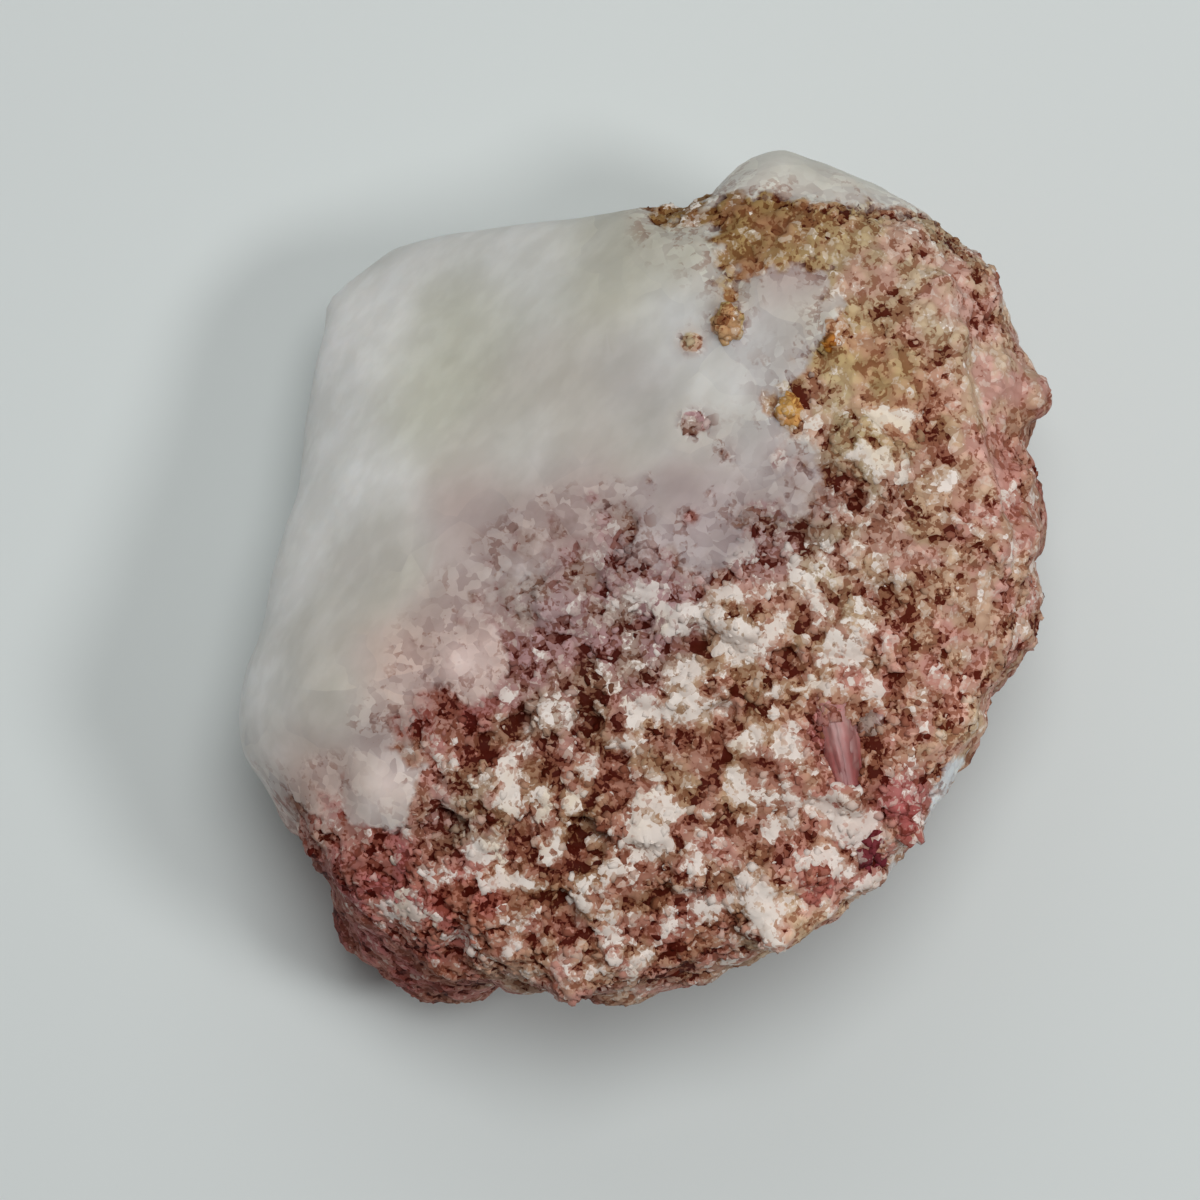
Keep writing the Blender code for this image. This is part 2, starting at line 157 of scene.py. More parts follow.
# Where each colour tints the rock: x, y, reach.
TINTS = {
    GOLD_BROWN: ((6.5, 15.4, 2.6), (9.0, 16.4, 2.0)),
    OLIVE_BROWN: ((4.9, 17.0, 2.0), (1.8, 16.2, 1.6)),
    DUSTY: (
        (10.8, 14.4, 2.6), (2.0, 10.3, 1.2), (13.4, 10.6, 1.2), (11.4, 1.8, 2.4), (9.0, -0.6, 1.8),
        (9.0, 7.4, 1.6), (-8.6, -11.6, 1.6),
    ),
    PALE_ROSE: ((12.4, 11.8, 2.2), (16.4, 9.4, 2.2)),
    OCHRE: ((10.8, 8.6, 2.4), (8.9, 10.4, 1.4)),
    DUSTY_BROWN: ((14.0, 6.4, 1.6), (3.2, -8.6, 2.8), (6.6, -3.2, 2.4)),
    KNOB_BROWN: ((3.8, 11.4, 1.4),),
    MAUVE: (
        (2.0, 6.4, 1.4), (-9.2, -11.8, 1.4), (6.4, 1.4, 2.0), (-4.0, 0.2, 3.0), (-8.0, -2.2, 3.0),
        (-1.2, -3.2, 2.4), (-4.6, -5.6, 2.2),
    ),
    TAN: ((13.2, 8.0, 1.6),),
    PINK: (
        (13.4, 2.2, 1.4), (10.6, -0.6, 1.4), (13.4, -6.2, 1.4), (18.4, 2.5, 2.0), (18.4, 6.0, 1.8),
        (9.2, -8.2, 2.2), (7.8, -13.6, 1.8),
    ),
    # Painted light along the lower rim.
    PAINTED_RIM_LIGHT: ((10.2, -17.2, 1.6), (6.2, -20.2, 1.6), (2.0, -21.2, 1.6), (-7.2, -21.0, 1.6)),
    # Painted glow on the shaded lower-left wall.
    PAINTED_PINK_GLOW: ((-12.8, -17.8, 1.8),),
    DEEP_PINK: (
        (-13.6, -11.8, 1.6), (-9.2, -6.6, 2.2), (-13.6, -13.6, 3.4), (10.6, -14.6, 1.6),
        (12.2, -11.6, 1.6),
    ),
    RED_BROWN: ((2.0, -17.6, 1.4), (-9.2, -17.4, 2.8)),
    ROSE: (
        (15.8, 4.6, 1.8), (-3.8, -19.6, 2.4), (-8.0, -20.4, 1.6), (3.4, -14.2, 1.6), (-10.6, -9.8, 2.0),
        (-16.4, -12.4, 2.0),
    ),
    RIDGE_TAN: ((15.3, 7.4, 0.9), (15.5, 5.6, 0.9), (15.8, 3.8, 0.9)),
    BROWN: (
        (-3.2, -6.2, 1.8), (-6.4, -9.0, 1.8), (8.6, 2.6, 1.4), (-3.4, -13.4, 3.4), (2.4, -17.4, 2.2),
        (5.8, -12.2, 1.6),
    ),
    LIGHT_ROSE: ((17.0, 0.2, 2.0), (14.3, -2.8, 2.6), (16.6, -4.6, 2.0), (2.6, -20.6, 2.2)),
    PALE_TAN: ((14.8, -7.4, 2.0), (8.4, -17.6, 2.4), (12.8, -14.0, 1.8)),
}
WALL_REDNESS = 0.45  # how strongly WALL_RED tints the walls

# Colours of the milky quartz. The brightest milk is painted light, not a colour of the quartz.
MILK = (0.68, 0.68, 0.655)
YELLOW_MILK = (0.56, 0.555, 0.465)
GREEN_MILK = (0.49, 0.475, 0.39)
WARM_MILK = (0.55, 0.52, 0.465)
FLAKE_MILK = (0.74, 0.77, 0.77)
STAINED_MILK = (0.45, 0.32, 0.21)
CAP_MILK = (0.62, 0.6, 0.53)
WHITE_MILK = (0.54, 0.505, 0.47)
LILAC_MILK = (0.46, 0.375, 0.345)
PINK_MILK = (0.57, 0.445, 0.395)
GREY_MILK = (0.45, 0.43, 0.41)
# Painted light: lightens the shaded left flank as if light shone through the quartz.
PAINTED_GLOW_MILK = (0.83, 0.825, 0.8)
HAZE_MILK = (0.52, 0.45, 0.43)
DUSK_MILK = (0.4, 0.32, 0.31)
# Pale pink-white of the quartz lumps, made brighter by a painted highlight.
PALE_LUMP_AND_HIGHLIGHT = (0.86, 0.73, 0.68)

# Where each colour tints the quartz: x, y, reach.
MILKS = {
    YELLOW_MILK: ((-10.3, 8.0, 2.4), (-8.1, 12.6, 1.8)),
    GREEN_MILK: ((-1.5, 14.3, 2.6), (3.9, 13.0, 0.9), (2.0, 14.2, 1.2)),
    WARM_MILK: ((-4.1, 7.5, 2.8), (-15.4, -6.3, 2.4), (-12.6, 0.4, 2.2), (-8.2, 5.6, 1.6)),
    WHITE_MILK: ((5.6, 10.2, 2.4), (4.7, 5.1, 1.8), (-12.5, -10.3, 1.6), (2.0, 6.4, 0.8)),
    LILAC_MILK: (
        (6.8, 13.3, 1.6), (-4.1, 3.2, 2.0), (-7.9, 2.6, 2.0), (-2.2, 0.6, 1.4), (-9.4, -2.4, 1.4),
        (-12.2, -8.4, 1.2),
    ),
    PINK_MILK: (
        (-17.0, -10.0, 2.2), (-8.4, -4.6, 1.6), (-11.4, -5.0, 1.8), (-14.4, -9.6, 1.0),
        (-15.6, -10.9, 1.6),
    ),
    # Painted light on the shaded left flank.
    PAINTED_GLOW_MILK: ((-15.4, 4.2, 3.4), (-14.8, 10.0, 2.6), (-18.4, -6.0, 2.0), (-18.6, -9.4, 1.6)),
    GREY_MILK: ((-0.6, 8.6, 2.0),),
    HAZE_MILK: ((4.2, 3.4, 1.6), (1.2, 1.0, 1.8), (7.2, 3.8, 1.4)),
    DUSK_MILK: ((5.0, 1.8, 1.3), (2.0, 2.7, 1.2)),
    MILK: ((-5.6, 5.2, 1.6), (2.5, 11.4, 2.4), (-6.0, 15.0, 3.0), (4.9, 8.2, 1.5), (4.6, 10.4, 1.2)),
    CAP_MILK: ((8.8, 18.6, 3.0), (14.0, 16.0, 2.4), (8.0, 11.5, 1.3), (7.4, 6.0, 1.0)),
    STAINED_MILK: ((3.8, 11.7, 0.8), (3.9, 12.9, 0.45), (3.9, 12.3, 0.5), (2.1, 10.5, 0.6)),
    # The lumps' pale colour, and a painted highlight in the small spot near the first lump's middle.
    PALE_LUMP_AND_HIGHLIGHT: ((-12.4, -10.3, 1.2), (-12.2, -10.5, 0.9), (-8.9, -4.9, 0.9)),
    FLAKE_MILK: ((14.1, -9.6, 2.0),),
}
ZONE_FLOOR = 0.02  # weight of the plain colour, which shows where no zone reaches

# Pale feldspar and quartz patches: x, y, half length, half width, turn in degrees.
PATCHES = (
    (3.7, 0.6, 1.0, 0.6, 5), (3.9, -1.5, 0.7, 0.4, 0), (2.0, -2.8, 1.5, 0.8, 10),
    (4.2, -4.0, 0.9, 1.2, 80), (5.7, -3.5, 0.8, 0.5, 75), (2.1, -5.3, 0.7, 0.5, 80),
    (7.3, -0.9, 1.3, 0.4, -65), (9.3, -3.8, 1.4, 1.0, 60), (7.6, -5.8, 1.1, 0.35, 0),
    (-0.3, -7.0, 0.9, 0.8, 90), (2.3, -6.9, 1.8, 0.7, 5), (-4.5, -7.2, 1.3, 0.7, 25),
    (4.9, -8.1, 0.7, 0.6, 70), (6.6, -8.6, 1.1, 0.6, -25), (4.3, -10.4, 0.6, 0.5, 90),
    (5.2, -10.1, 0.3, 0.2, 0), (0.0, -12.4, 2.0, 1.0, 80), (1.3, -11.7, 0.6, 0.4, 0),
    (-2.7, -9.7, 0.8, 0.4, 10), (-6.5, -10.3, 1.5, 0.4, 88), (-4.9, -11.5, 1.0, 0.4, 85),
    (-3.3, -11.1, 0.4, 0.25, 80), (5.2, -11.0, 0.8, 0.4, -10), (9.1, -12.0, 1.8, 0.9, -25),
    (-7.7, -13.3, 0.8, 0.5, 10), (-6.2, -15.0, 1.4, 0.5, -5), (-4.3, -13.1, 0.7, 0.4, 70),
    (-3.0, -15.3, 0.8, 0.6, 20), (-1.8, -14.5, 0.7, 0.3, 40), (-11.2, -16.4, 1.2, 0.5, -20),
    (-1.9, -17.5, 0.6, 0.5, 80), (-0.3, -18.8, 0.8, 0.3, 50), (8.5, -14.1, 1.2, 0.7, -25),
    (5.3, -16.0, 1.6, 0.7, -70), (3.2, -16.0, 1.1, 0.4, 10), (1.0, -16.6, 1.0, 0.3, 80),
    (10.8, -6.0, 0.6, 0.4, 50), (10.3, 4.7, 1.3, 0.5, -15), (11.4, 6.7, 1.2, 0.5, 0),
    (14.0, 3.7, 0.5, 0.4, 0), (6.9, 2.3, 0.5, 0.3, 60), (8.7, 11.7, 0.5, 0.25, 0),
    (1.2, 5.0, 1.0, 0.5, 65), (6.4, -16.0, 0.5, 0.4, 0), (-1.3, -8.5, 0.7, 0.3, 0),
    (-5.9, -8.6, 0.6, 0.3, 30), (7.2, -11.3, 0.9, 0.4, -20), (2.0, -14.4, 0.8, 0.35, 80),
    (6.6, -12.2, 0.7, 0.35, 30), (8.0, 0.2, 0.8, 0.4, -60), (7.9, -2.9, 0.8, 0.4, 30),
    (10.2, -14.9, 0.8, 0.35, 40), (-9.0, -14.6, 0.7, 0.3, 0), (-0.3, -1.4, 0.5, 0.3, 0),
    (5.7, -6.1, 0.6, 0.3, 20), (-11.2, -12.6, 0.5, 0.25, -80), (-6.2, -18.0, 0.5, 0.25, 0),
)
PATCH_FADE = 0.75  # width over which a patch gives way to rock
PLAIN_LEVEL = 0.43
PATCH_LEVEL = 0.46  # how much a patch adds
PIT_LEVEL = 0.15  # how much a pit takes away
WALL_LEVEL = 0.38
WALL_CALM = 0.35

# Soft zones of the rock, which mottle it less, lighten it and darken it, and those where a
# milky veil lies over it or is kept off: x, y, reach, strength.
CALM = (
    (-15.6, -11.0, 2.2, 0.5), (-4.0, 1.6, 3.0, 0.6), (-8.0, -2.0, 3.0, 0.6), (-11.0, -4.6, 2.6, 0.6),
    (17.0, 8.4, 2.8, 0.8), (15.6, 4.8, 2.2, 0.75), (10.6, 14.0, 2.8, 0.55), (13.6, 11.8, 2.6, 0.6),
    (-12.6, -9.8, 1.8, 0.8), (17.6, 2.0, 2.0, 0.5), (15.6, -9.0, 1.8, 0.5), (8.0, -17.8, 2.0, 0.6),
    (5.5, 15.6, 3.2, 0.6), (10.5, 9.0, 2.8, 0.62), (12.0, 1.0, 3.0, 0.3), (2.0, 1.4, 2.6, 0.3),
    (15.4, -3.0, 2.6, 0.4), (-13.8, -13.4, 2.6, 0.3), (3.2, -8.6, 1.8, 0.4), (6.0, 2.4, 2.0, 0.2),
    (-4.6, -1.6, 2.4, 0.5),
)
PALER = (
    (2.0, 10.3, 1.0, 0.02), (2.0, 6.4, 1.2, 0.03), (7.6, -0.5, 1.2, 0.08), (10.6, 2.4, 1.6, 0.13),
    (13.2, 10.8, 1.6, 0.09), (4.9, 2.0, 1.6, 0.12), (0.6, -0.6, 3.0, 0.05), (5.6, -0.6, 2.4, 0.06),
    (1.8, -3.2, 1.4, 0.06), (-9.2, -11.6, 1.2, 0.08), (-0.8, -0.6, 1.4, 0.15), (7.4, 5.4, 1.4, 0.14),
    (17.4, 1.0, 3.0, 0.06), (14.6, -2.0, 3.0, 0.06), (11.0, 1.4, 3.6, 0.06), (9.0, -0.5, 1.8, 0.07),
    (2.0, -13.0, 5.0, 0.03), (12.6, 12.2, 3.0, 0.05), (-7.8, -2.0, 3.0, 0.05), (-12.6, -9.8, 2.2, 0.12),
    (10.6, 7.4, 2.6, 0.07), (5.0, 1.0, 2.6, 0.07), (16.4, 8.8, 3.0, 0.05), (8.0, -18.0, 2.4, 0.06),
)
DARKER = (
    (-5.6, -6.2, 2.0, 0.19), (-2.2, -5.9, 1.6, 0.12), (-4.6, -9.2, 2.2, 0.12), (-8.6, -8.8, 2.2, 0.18),
    (2.4, 2.9, 1.4, 0.08), (-3.4, -6.0, 1.4, 0.14), (14.4, -3.3, 2.0, 0.05), (13.4, -6.2, 1.6, 0.06),
    (-3.6, -11.8, 1.2, 0.06), (-9.2, -14.4, 1.4, 0.08), (13.2, 8.0, 1.8, 0.08), (13.2, 2.4, 1.4, 0.05),
    (13.2, 13.8, 1.4, 0.05), (-2.2, -17.4, 1.8, 0.1), (4.4, -12.0, 1.4, 0.08), (-0.6, -3.6, 1.6, 0.08),
    (6.2, -12.6, 1.8, 0.08), (0.6, -17.8, 2.0, 0.06), (6.5, 15.6, 2.6, 0.03),
)
VEILED = (
    (-15.6, -11.4, 1.8, 0.8), (-1.4, 3.0, 1.8, 0.8), (-11.6, -6.6, 2.0, 0.9), (-6.0, 0.2, 2.2, 0.9),
    (-4.0, 1.6, 2.2, 0.9), (-1.0, 0.6, 2.0, 0.7), (-7.4, -1.6, 2.0, 0.9), (-10.2, -4.6, 2.2, 0.9),
    (-12.2, -7.6, 1.8, 0.8), (-4.6, -1.2, 2.0, 0.5), (-8.6, -5.2, 1.6, 0.6), (6.9, 3.2, 1.8, 0.7),
    (4.2, 1.6, 2.0, 0.8), (1.6, 0.4, 2.0, 0.7), (3.6, 5.0, 1.0, 0.6),
)
CLEAR = ((-12.4, -10.3, 1.5, 1.0), (-8.9, -4.9, 0.9, 0.8))

# Dark pits: x, y, radius.
PITS = (
    (-12.2, -8.9, 0.6), (-11.0, -9.4, 0.6), (-6.4, -8.3, 0.9), (-3.1, -8.2, 0.9), (-7.8, -9.1, 0.8),
    (-1.6, -10.0, 0.9), (-10.1, -13.2, 1.1), (-6.2, -13.4, 0.8), (-2.8, -13.8, 1.3), (3.8, -7.7, 0.9),
    (3.4, -8.9, 0.7), (5.3, -13.7, 0.9), (-0.3, -3.0, 0.9), (7.1, -4.9, 1.0), (9.7, 2.7, 0.9),
    (10.6, -9.3, 1.1), (-9.4, -18.8, 1.0), (2.5, -3.7, 0.9), (11.8, -1.8, 1.0), (-4.1, -17.2, 1.0),
    (2.0, -16.2, 0.9), (8.0, -12.1, 0.8),
)

# Inclusions, each a cluster of coloured grains: name, x, y, half width, half height, grain
# radius, colour.
HONEY = (0.66, 0.35, 0.12)
AMBER = (0.46, 0.2, 0.04)
CRYSTAL_PINK = (0.43, 0.135, 0.12)
CRYSTAL_ROSE = (0.5, 0.23, 0.215)
CRYSTAL_DEEP = (0.21, 0.035, 0.05)
CLUSTERS = (
    ("brown_knob", 3.8, 11.1, 0.52, 0.8, 0.46, KNOB_BROWN),
    ("honey_grain", 6.6, 7.1, 0.4, 0.8, 0.46, HONEY),
    ("rust_grain", 8.5, 10.2, 0.32, 0.26, 0.32, AMBER),
    ("mauve_grain", 10.4, -7.6, 0.55, 0.5, 0.44, MAUVE),
    ("red_grain", 7.9, -15.1, 0.7, 0.8, 0.42, RED_BROWN),
    ("deep_pink_crystal", 12.1, -12.0, 0.5, 0.9, 0.55, CRYSTAL_PINK),
    ("pink_crystal", 8.3, -7.7, 0.7, 0.9, 0.48, CRYSTAL_ROSE),
    ("magenta_crystal", 10.5, -13.6, 0.55, 0.75, 0.55, CRYSTAL_DEEP),
)
CLUSTER_TRIES = 200
CLUSTER_GAP = 0.6  # least distance between a cluster's grains, as a share of their radius
CLUSTER_SUNK = 0.45  # share of its radius that a grain's middle lies below the surface
CLUSTER_SPREAD = (0.75, 1.25)  # smallest and largest grain, as shares of the radius
CLUSTER_CORNERS = 12  # random corners that each grain's hull is made from
CLUSTER_SHAPES = 8
CLUSTER_STRETCH = (1.1, 1.0, 0.8)
DROP_FROM = 40.0  # height in mm above the whole stone
CLUSTER_LEVEL = 0.47
CLUSTER_CONTRAST = 0.5
FAR_IN = 9.0  # a distance in mm that is deep inside one mineral

# Prisms, each a bundle of striated rods that lie round the upper side of one axis: name,
# middle, (compass, rise), length, width, number of rods, colours from end to end.
PRISM_LIGHT = (0.56, 0.25, 0.235)
PRISM_PINK = (0.4, 0.105, 0.1)
PRISMS = (("striated_prism", (9.1, -9.0, 20.2), (-79, 4), 5.0, 2.5, 4, PRISM_LIGHT, PRISM_PINK),)
ROD_CORNERS = 18
ROD_RINGS = 15
ROD_SPREAD = 55.0  # degrees from the top of the axis to the outermost rods
ROD_SHARE = 0.34  # a rod's radius as a share of the bundle's width
ROD_JITTER = 0.22
ROD_STEP = 3.0  # shift of the colour pattern from rod to rod
PRISM_TAPER = 0.48  # width of the far end against the near one
PRISM_FADE = (0.2, 0.7)  # shares of its length between which the colour changes
SEAT_DROP = 0.5  # how far the rock sinks under a prism
SEAT_REACH = 1.5  # how far below a prism's middle its seat reaches
SEAT_RIM = (0.5, 0.85)  # where the seat fades out, as shares of the prism's half size

# Grains.
GRAIN_GAP = 0.5  # least distance between grains
GRAIN_RADIUS = (0.18, 0.36)
GRAIN_SUNK = 0.55  # share of its radius that a grain's middle lies below the surface
CALM_SUNK = 0.75  # how much more where the rock is calm
GRAIN_CORNERS = 14
GRAIN_SHAPES = 12
GRAIN_STRETCH = (1.1, 0.95, 0.75)
GRAINS_FROM = 0.7  # height above which grains grow
GRAINS_OFF_QUARTZ = 0.2  # how far they keep away from it
GRAINS_A_PIECE = 7000

# Crystal cells of the rock, and the levels at which it turns from one colour into the next.
CELL_SIZE = 0.5
SMALL_CELL_SIZE = 0.28
CHIP_SIZE = 5.0  # of the chips on the lower quartz
FACET_SIZE = 2.6  # of the faintly paler and darker faces of the quartz near the rock
DARK_TO_MID = (0.2, 0.27)
MID_TO_TINT = (0.36, 0.41)
TINT_TO_PALE = (0.56, 0.61)
PALE_TO_WHITE = (0.68, 0.715)
WHITE = (0.86, 0.815, 0.755)
CREAM = (0.83, 0.755, 0.62)
DULL_WHITE = (0.6, 0.53, 0.47)
PALE_GRAIN = (0.8, 0.72, 0.62)
# Painted highlights on the prism.
PAINTED_PRISM_HIGHLIGHT = (0.74, 0.52, 0.46)


def ramp(value, low, high):
    """0 at low, 1 at high, and smooth between them."""
    share = np.clip((value - low) / (high - low), 0.0, 1.0)
    return share * share * (3.0 - 2.0 * share)


def fields(points, size, shift):
    """Smooth noise between about -1 and 1 at each point."""
    offset = Vector((shift, shift * 1.7, shift * 2.3))
    return np.array([noise.noise(Vector(spot) + offset) for spot in points / size])


def ragged(points, size, reach):
    """Points moved about in plan, so that a round form gets an uneven outline."""
    moved = points.copy()
    moved[:, 0] += reach * fields(points, size, 41.0)
    moved[:, 1] += reach * fields(points, size, 47.0)
    return moved


def edge_distance(points, edge):
    """Distance in plan from a closed line, positive inside it."""
    corners = np.array(edge)
    flat = points[:, :2]
    nearest = np.full(len(points), np.inf)
    inside = np.zeros(len(points), dtype=bool)
    for start, end in zip(corners, np.roll(corners, -1, axis=0)):
        run = end - start
        share = np.clip((flat - start) @ run / (run @ run), 0.0, 1.0)
        gap = np.hypot(*(flat - start - share[:, None] * run).T)
        nearest = np.minimum(nearest, gap)
        if start[1] != end[1]:
            crossing = (flat[:, 1] - start[1]) / run[1] * run[0] + start[0]
            between = (start[1] > flat[:, 1]) != (end[1] > flat[:, 1])
            inside ^= between & (flat[:, 0] < crossing)
    return np.where(inside, nearest, -nearest)


def zone_share(points, zones):
    """How strongly soft round zones reach each point: x, y, reach, strength."""
    share = np.zeros(len(points))
    for x, y, reach, strength in zones:
        gap = (points[:, 0] - x) ** 2 + (points[:, 1] - y) ** 2
        share = np.maximum(share, strength * np.exp(-gap / reach**2))
    return share


def zone_colours(points, zones, plain):
    """Colour at each point, blended from the round zones of each colour: x, y, reach."""
    total = np.full(len(points), ZONE_FLOOR)
    mixed = total[:, None] * np.array(plain)
    for colour, places in zones.items():
        for x, y, reach in places:
            gap = (points[:, 0] - x) ** 2 + (points[:, 1] - y) ** 2
            weight = np.exp(-gap / reach**2)
            total += weight
            mixed += weight[:, None] * np.array(colour)
    return mixed / total[:, None]


def quartz_field(points):
    """Distance in mm into the milky quartz, negative in the granular rock."""
    deep = (points - np.array(CONTACT_POINT)) @ np.array(CONTACT_NORMAL) - CONTACT_DISTANCE
    blend = ramp(points[:, 2], *CONTACT_HEIGHTS)
    plain = edge_distance(points, QUARTZ_EDGE) * blend + deep * (1.0 - blend)
    cap = edge_distance(points, CAP_EDGE) - CAP_SHRINK * (1.0 - ramp(points[:, 2], *CAP_HEIGHTS))
    wander = fields(points, 2.2, 3.1) + 0.6 * fields(points, 0.9, 8.4)
    field = np.maximum(plain + EDGE_WANDER * wander, cap + CAP_WANDER * EDGE_WANDER * wander)
    field -= zone_share(points, QUARTZ_THIN)
    for x, y, z, reach in QUARTZ_SPOTS:
        gap = np.linalg.norm(points - np.array((x, y, z)), axis=1)
        field = np.maximum(field, 2.0 * (reach - gap) + 0.9 * wander)
    return field


def patch_field(points):
    """1 inside a pale patch, 0 at its edge and -1 well outside."""
    points = ragged(points, 0.8, 0.5)
    best = np.full(len(points), -1.0)
    for x, y, half_length, half_width, turn in PATCHES:
        along, across = turned_shares(points, x, y, half_length, half_width, math.radians(turn))
        reach = math.sqrt(half_length * half_width)
        best = np.maximum(best, (1.0 - np.hypot(along, across)) * reach / PATCH_FADE)
    return np.clip(best, -1.0, 1.0)


def pit_field(points):
    """1 in the middle of a dark pit, 0 away from it."""
    points = ragged(points, 0.7, 0.8)
    depth = np.zeros(len(points))
    for x, y, radius in PITS:
        gap = np.hypot(points[:, 0] - x, points[:, 1] - y)
        depth = np.maximum(depth, 1.0 - ramp(gap, 0.3 * radius, radius))
    return depth * ramp(points[:, 2], *PIT_HEIGHTS)


def turned_shares(points, x, y, half_length, half_width, turn):
    """Where points lie along and across a turned oval: 1 or -1 at its ends and sides."""
    east = points[:, 0] - x
    north = points[:, 1] - y
    along = (east * math.cos(turn) + north * math.sin(turn)) / half_length
    across = (north * math.cos(turn) - east * math.sin(turn)) / half_width
    return along, across


def level_field(points):
    """How pale the rock is: patches raise it and pits lower it."""
    upper = ramp(points[:, 2], *WALL_HEIGHTS)
    patch = PATCH_LEVEL * np.clip(patch_field(points) + 0.5, 0.0, 1.0)
    level = PLAIN_LEVEL + patch - PIT_LEVEL * pit_field(points)
    level += zone_share(points, PALER) - zone_share(points, DARKER)
    return level * upper + WALL_LEVEL * (1.0 - upper)


def contrast_field(points):
    """How strongly the rock is mottled."""
    walls = WALL_CALM * (1.0 - ramp(points[:, 2], *WALL_HEIGHTS))
    return (1.0 - zone_share(points, CALM)) * (1.0 - walls)


def tint_colours(points):
    """Base colour of the granular rock at each point, redder down the sides."""
    low = WALL_REDNESS * (1.0 - ramp(points[:, 2], *RED_HEIGHTS))[:, None]
    return zone_colours(points, TINTS, PINK) * (1.0 - low) + np.array(WALL_RED) * low


def swell_height(points):
    """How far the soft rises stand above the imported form, in mm."""
    height = np.zeros(len(points))
    for x, y, z, reach, rise in SWELLS:
        gap = np.linalg.norm(points - np.array((x, y, z)), axis=1)
        height += rise * np.exp(-((gap / reach) ** 2))
    return height


def seat_share(points):
    """1 where a prism sits in the rock, and 0 from near its rim outwards."""
    share = np.zeros(len(points))
    for _, (x, y, z), (compass, _), length, width, *_ in PRISMS:
        turn = math.radians(compass)
        along, across = turned_shares(points, x, y, length / 2.0, width / 2.0, turn)
        here = (1.0 - ramp(np.hypot(along, across), *SEAT_RIM)) * (points[:, 2] > z - SEAT_REACH)
        share = np.maximum(share, here)
    return share


def mesh_arrays(mesh):
    """Vertex places in mm, vertex normals and edges of a mesh."""
    count = len(mesh.vertices)
    places = np.empty(count * 3, dtype=np.float32)
    mesh.vertices.foreach_get("co", places)
    normals = np.empty(count * 3, dtype=np.float32)
    mesh.vertex_normals.foreach_get("vector", normals)
    edges = np.empty(len(mesh.edges) * 2, dtype=np.int32)
    mesh.edges.foreach_get("vertices", edges)
    return places.reshape(-1, 3).astype(float) / MM, normals.reshape(-1, 3), edges.reshape(-1, 2)


def set_places(mesh, places):
    """Put the vertices of a mesh at places given in mm."""
    mesh.vertices.foreach_set("co", (places * MM).astype(np.float32).ravel())
    mesh.update()


def smoothed(places, edges, strength, rounds):
    """Move each point towards the mean of its neighbours, by its own strength."""
    count = len(places)
    ends = np.concatenate([edges[:, 0], edges[:, 1]])
    others = np.concatenate([edges[:, 1], edges[:, 0]])
    degree = np.maximum(np.bincount(ends, minlength=count), 1)
    for _ in range(rounds):
        sums = [np.bincount(ends, places[others, axis], count) for axis in range(3)]
        mean = np.stack(sums, axis=1) / degree[:, None]
        places = places + (mean - places) * strength[:, None]
    return places


def store(mesh, name, kind, values):
    """Keep one value for each vertex under a name that materials read."""
    layer = mesh.attributes.new(name, kind, "POINT")
    key = {"FLOAT": "value", "FLOAT_VECTOR": "vector", "FLOAT_COLOR": "color"}[kind]
    if kind == "FLOAT_COLOR":
        values = np.insert(values, 3, 1.0, axis=1)  # alpha
    layer.data.foreach_set(key, np.asarray(values, dtype=np.float32).ravel())


def store_minerals(mesh, spots, **known):
    """Keep what the relief and the material need to know about each vertex."""
    values = {
        "tint": lambda: tint_colours(spots),
        "milk": lambda: zone_colours(spots, MILKS, MILK),
        "level": lambda: level_field(spots),
        "contrast": lambda: contrast_field(spots),
        "veil": lambda: zone_share(spots, VEILED) * (1.0 - zone_share(spots, CLEAR)),
        "quartz": lambda: quartz_field(spots),
        "base": lambda: ramp(spots[:, 2], *BASE_HEIGHTS),
    }
    for name, find in values.items():
        if name in known:
            value = np.broadcast_to(known[name], (len(spots), np.size(known[name])))
        else:
            value = find()
        store(mesh, name, "FLOAT_COLOR" if name in ("tint", "milk") else "FLOAT", value)
    store(mesh, "spot", "FLOAT_VECTOR", spots)


def placed(name, data):
    """A new object in the scene."""
    thing = bpy.data.objects.new(name, data)
    bpy.context.scene.collection.objects.link(thing)
    return thing


def add_piece(name, mesh, material):
    """A piece of the stone that rides with it."""
    piece = placed(name, mesh)
    mesh.materials.clear()
    mesh.materials.append(material)
    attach(piece, "root")
    return piece


def reshape(mesh, change):
    """Change a mesh through bmesh."""
    shape = bmesh.new()
    shape.from_mesh(mesh)
    change(shape)
    shape.to_mesh(mesh)
    shape.free()


def with_modifier(mesh, kind, weights=None, **values):
    """A new mesh: the old one under one modifier, with weights as its vertex group."""
    thing = placed("work", mesh)
    modifier = thing.modifiers.new("work", kind)
    for key, value in values.items():
        setattr(modifier, key, value)
    if weights is not None:
        group = thing.vertex_groups.new(name="work")
        group.add(np.flatnonzero(weights).tolist(), 1.0, "REPLACE")
        modifier.vertex_group = group.name
    depsgraph = bpy.context.evaluated_depsgraph_get()
    result = bpy.data.meshes.new_from_object(thing.evaluated_get(depsgraph))
    bpy.data.objects.remove(thing)
    return result


def refine(mesh, wanted):
    """Halve the edges whose ends are both wanted."""
    def change(shape):
        bmesh.ops.triangulate(shape, faces=shape.faces)
        shape.verts.ensure_lookup_table()
        edges = [edge for edge in shape.edges if all(wanted[vert.index] for vert in edge.verts)]
        bmesh.ops.subdivide_edges(shape, edges=edges, cuts=1, use_grid_fill=True)
        bmesh.ops.triangulate(shape, faces=shape.faces)

    reshape(mesh, change)


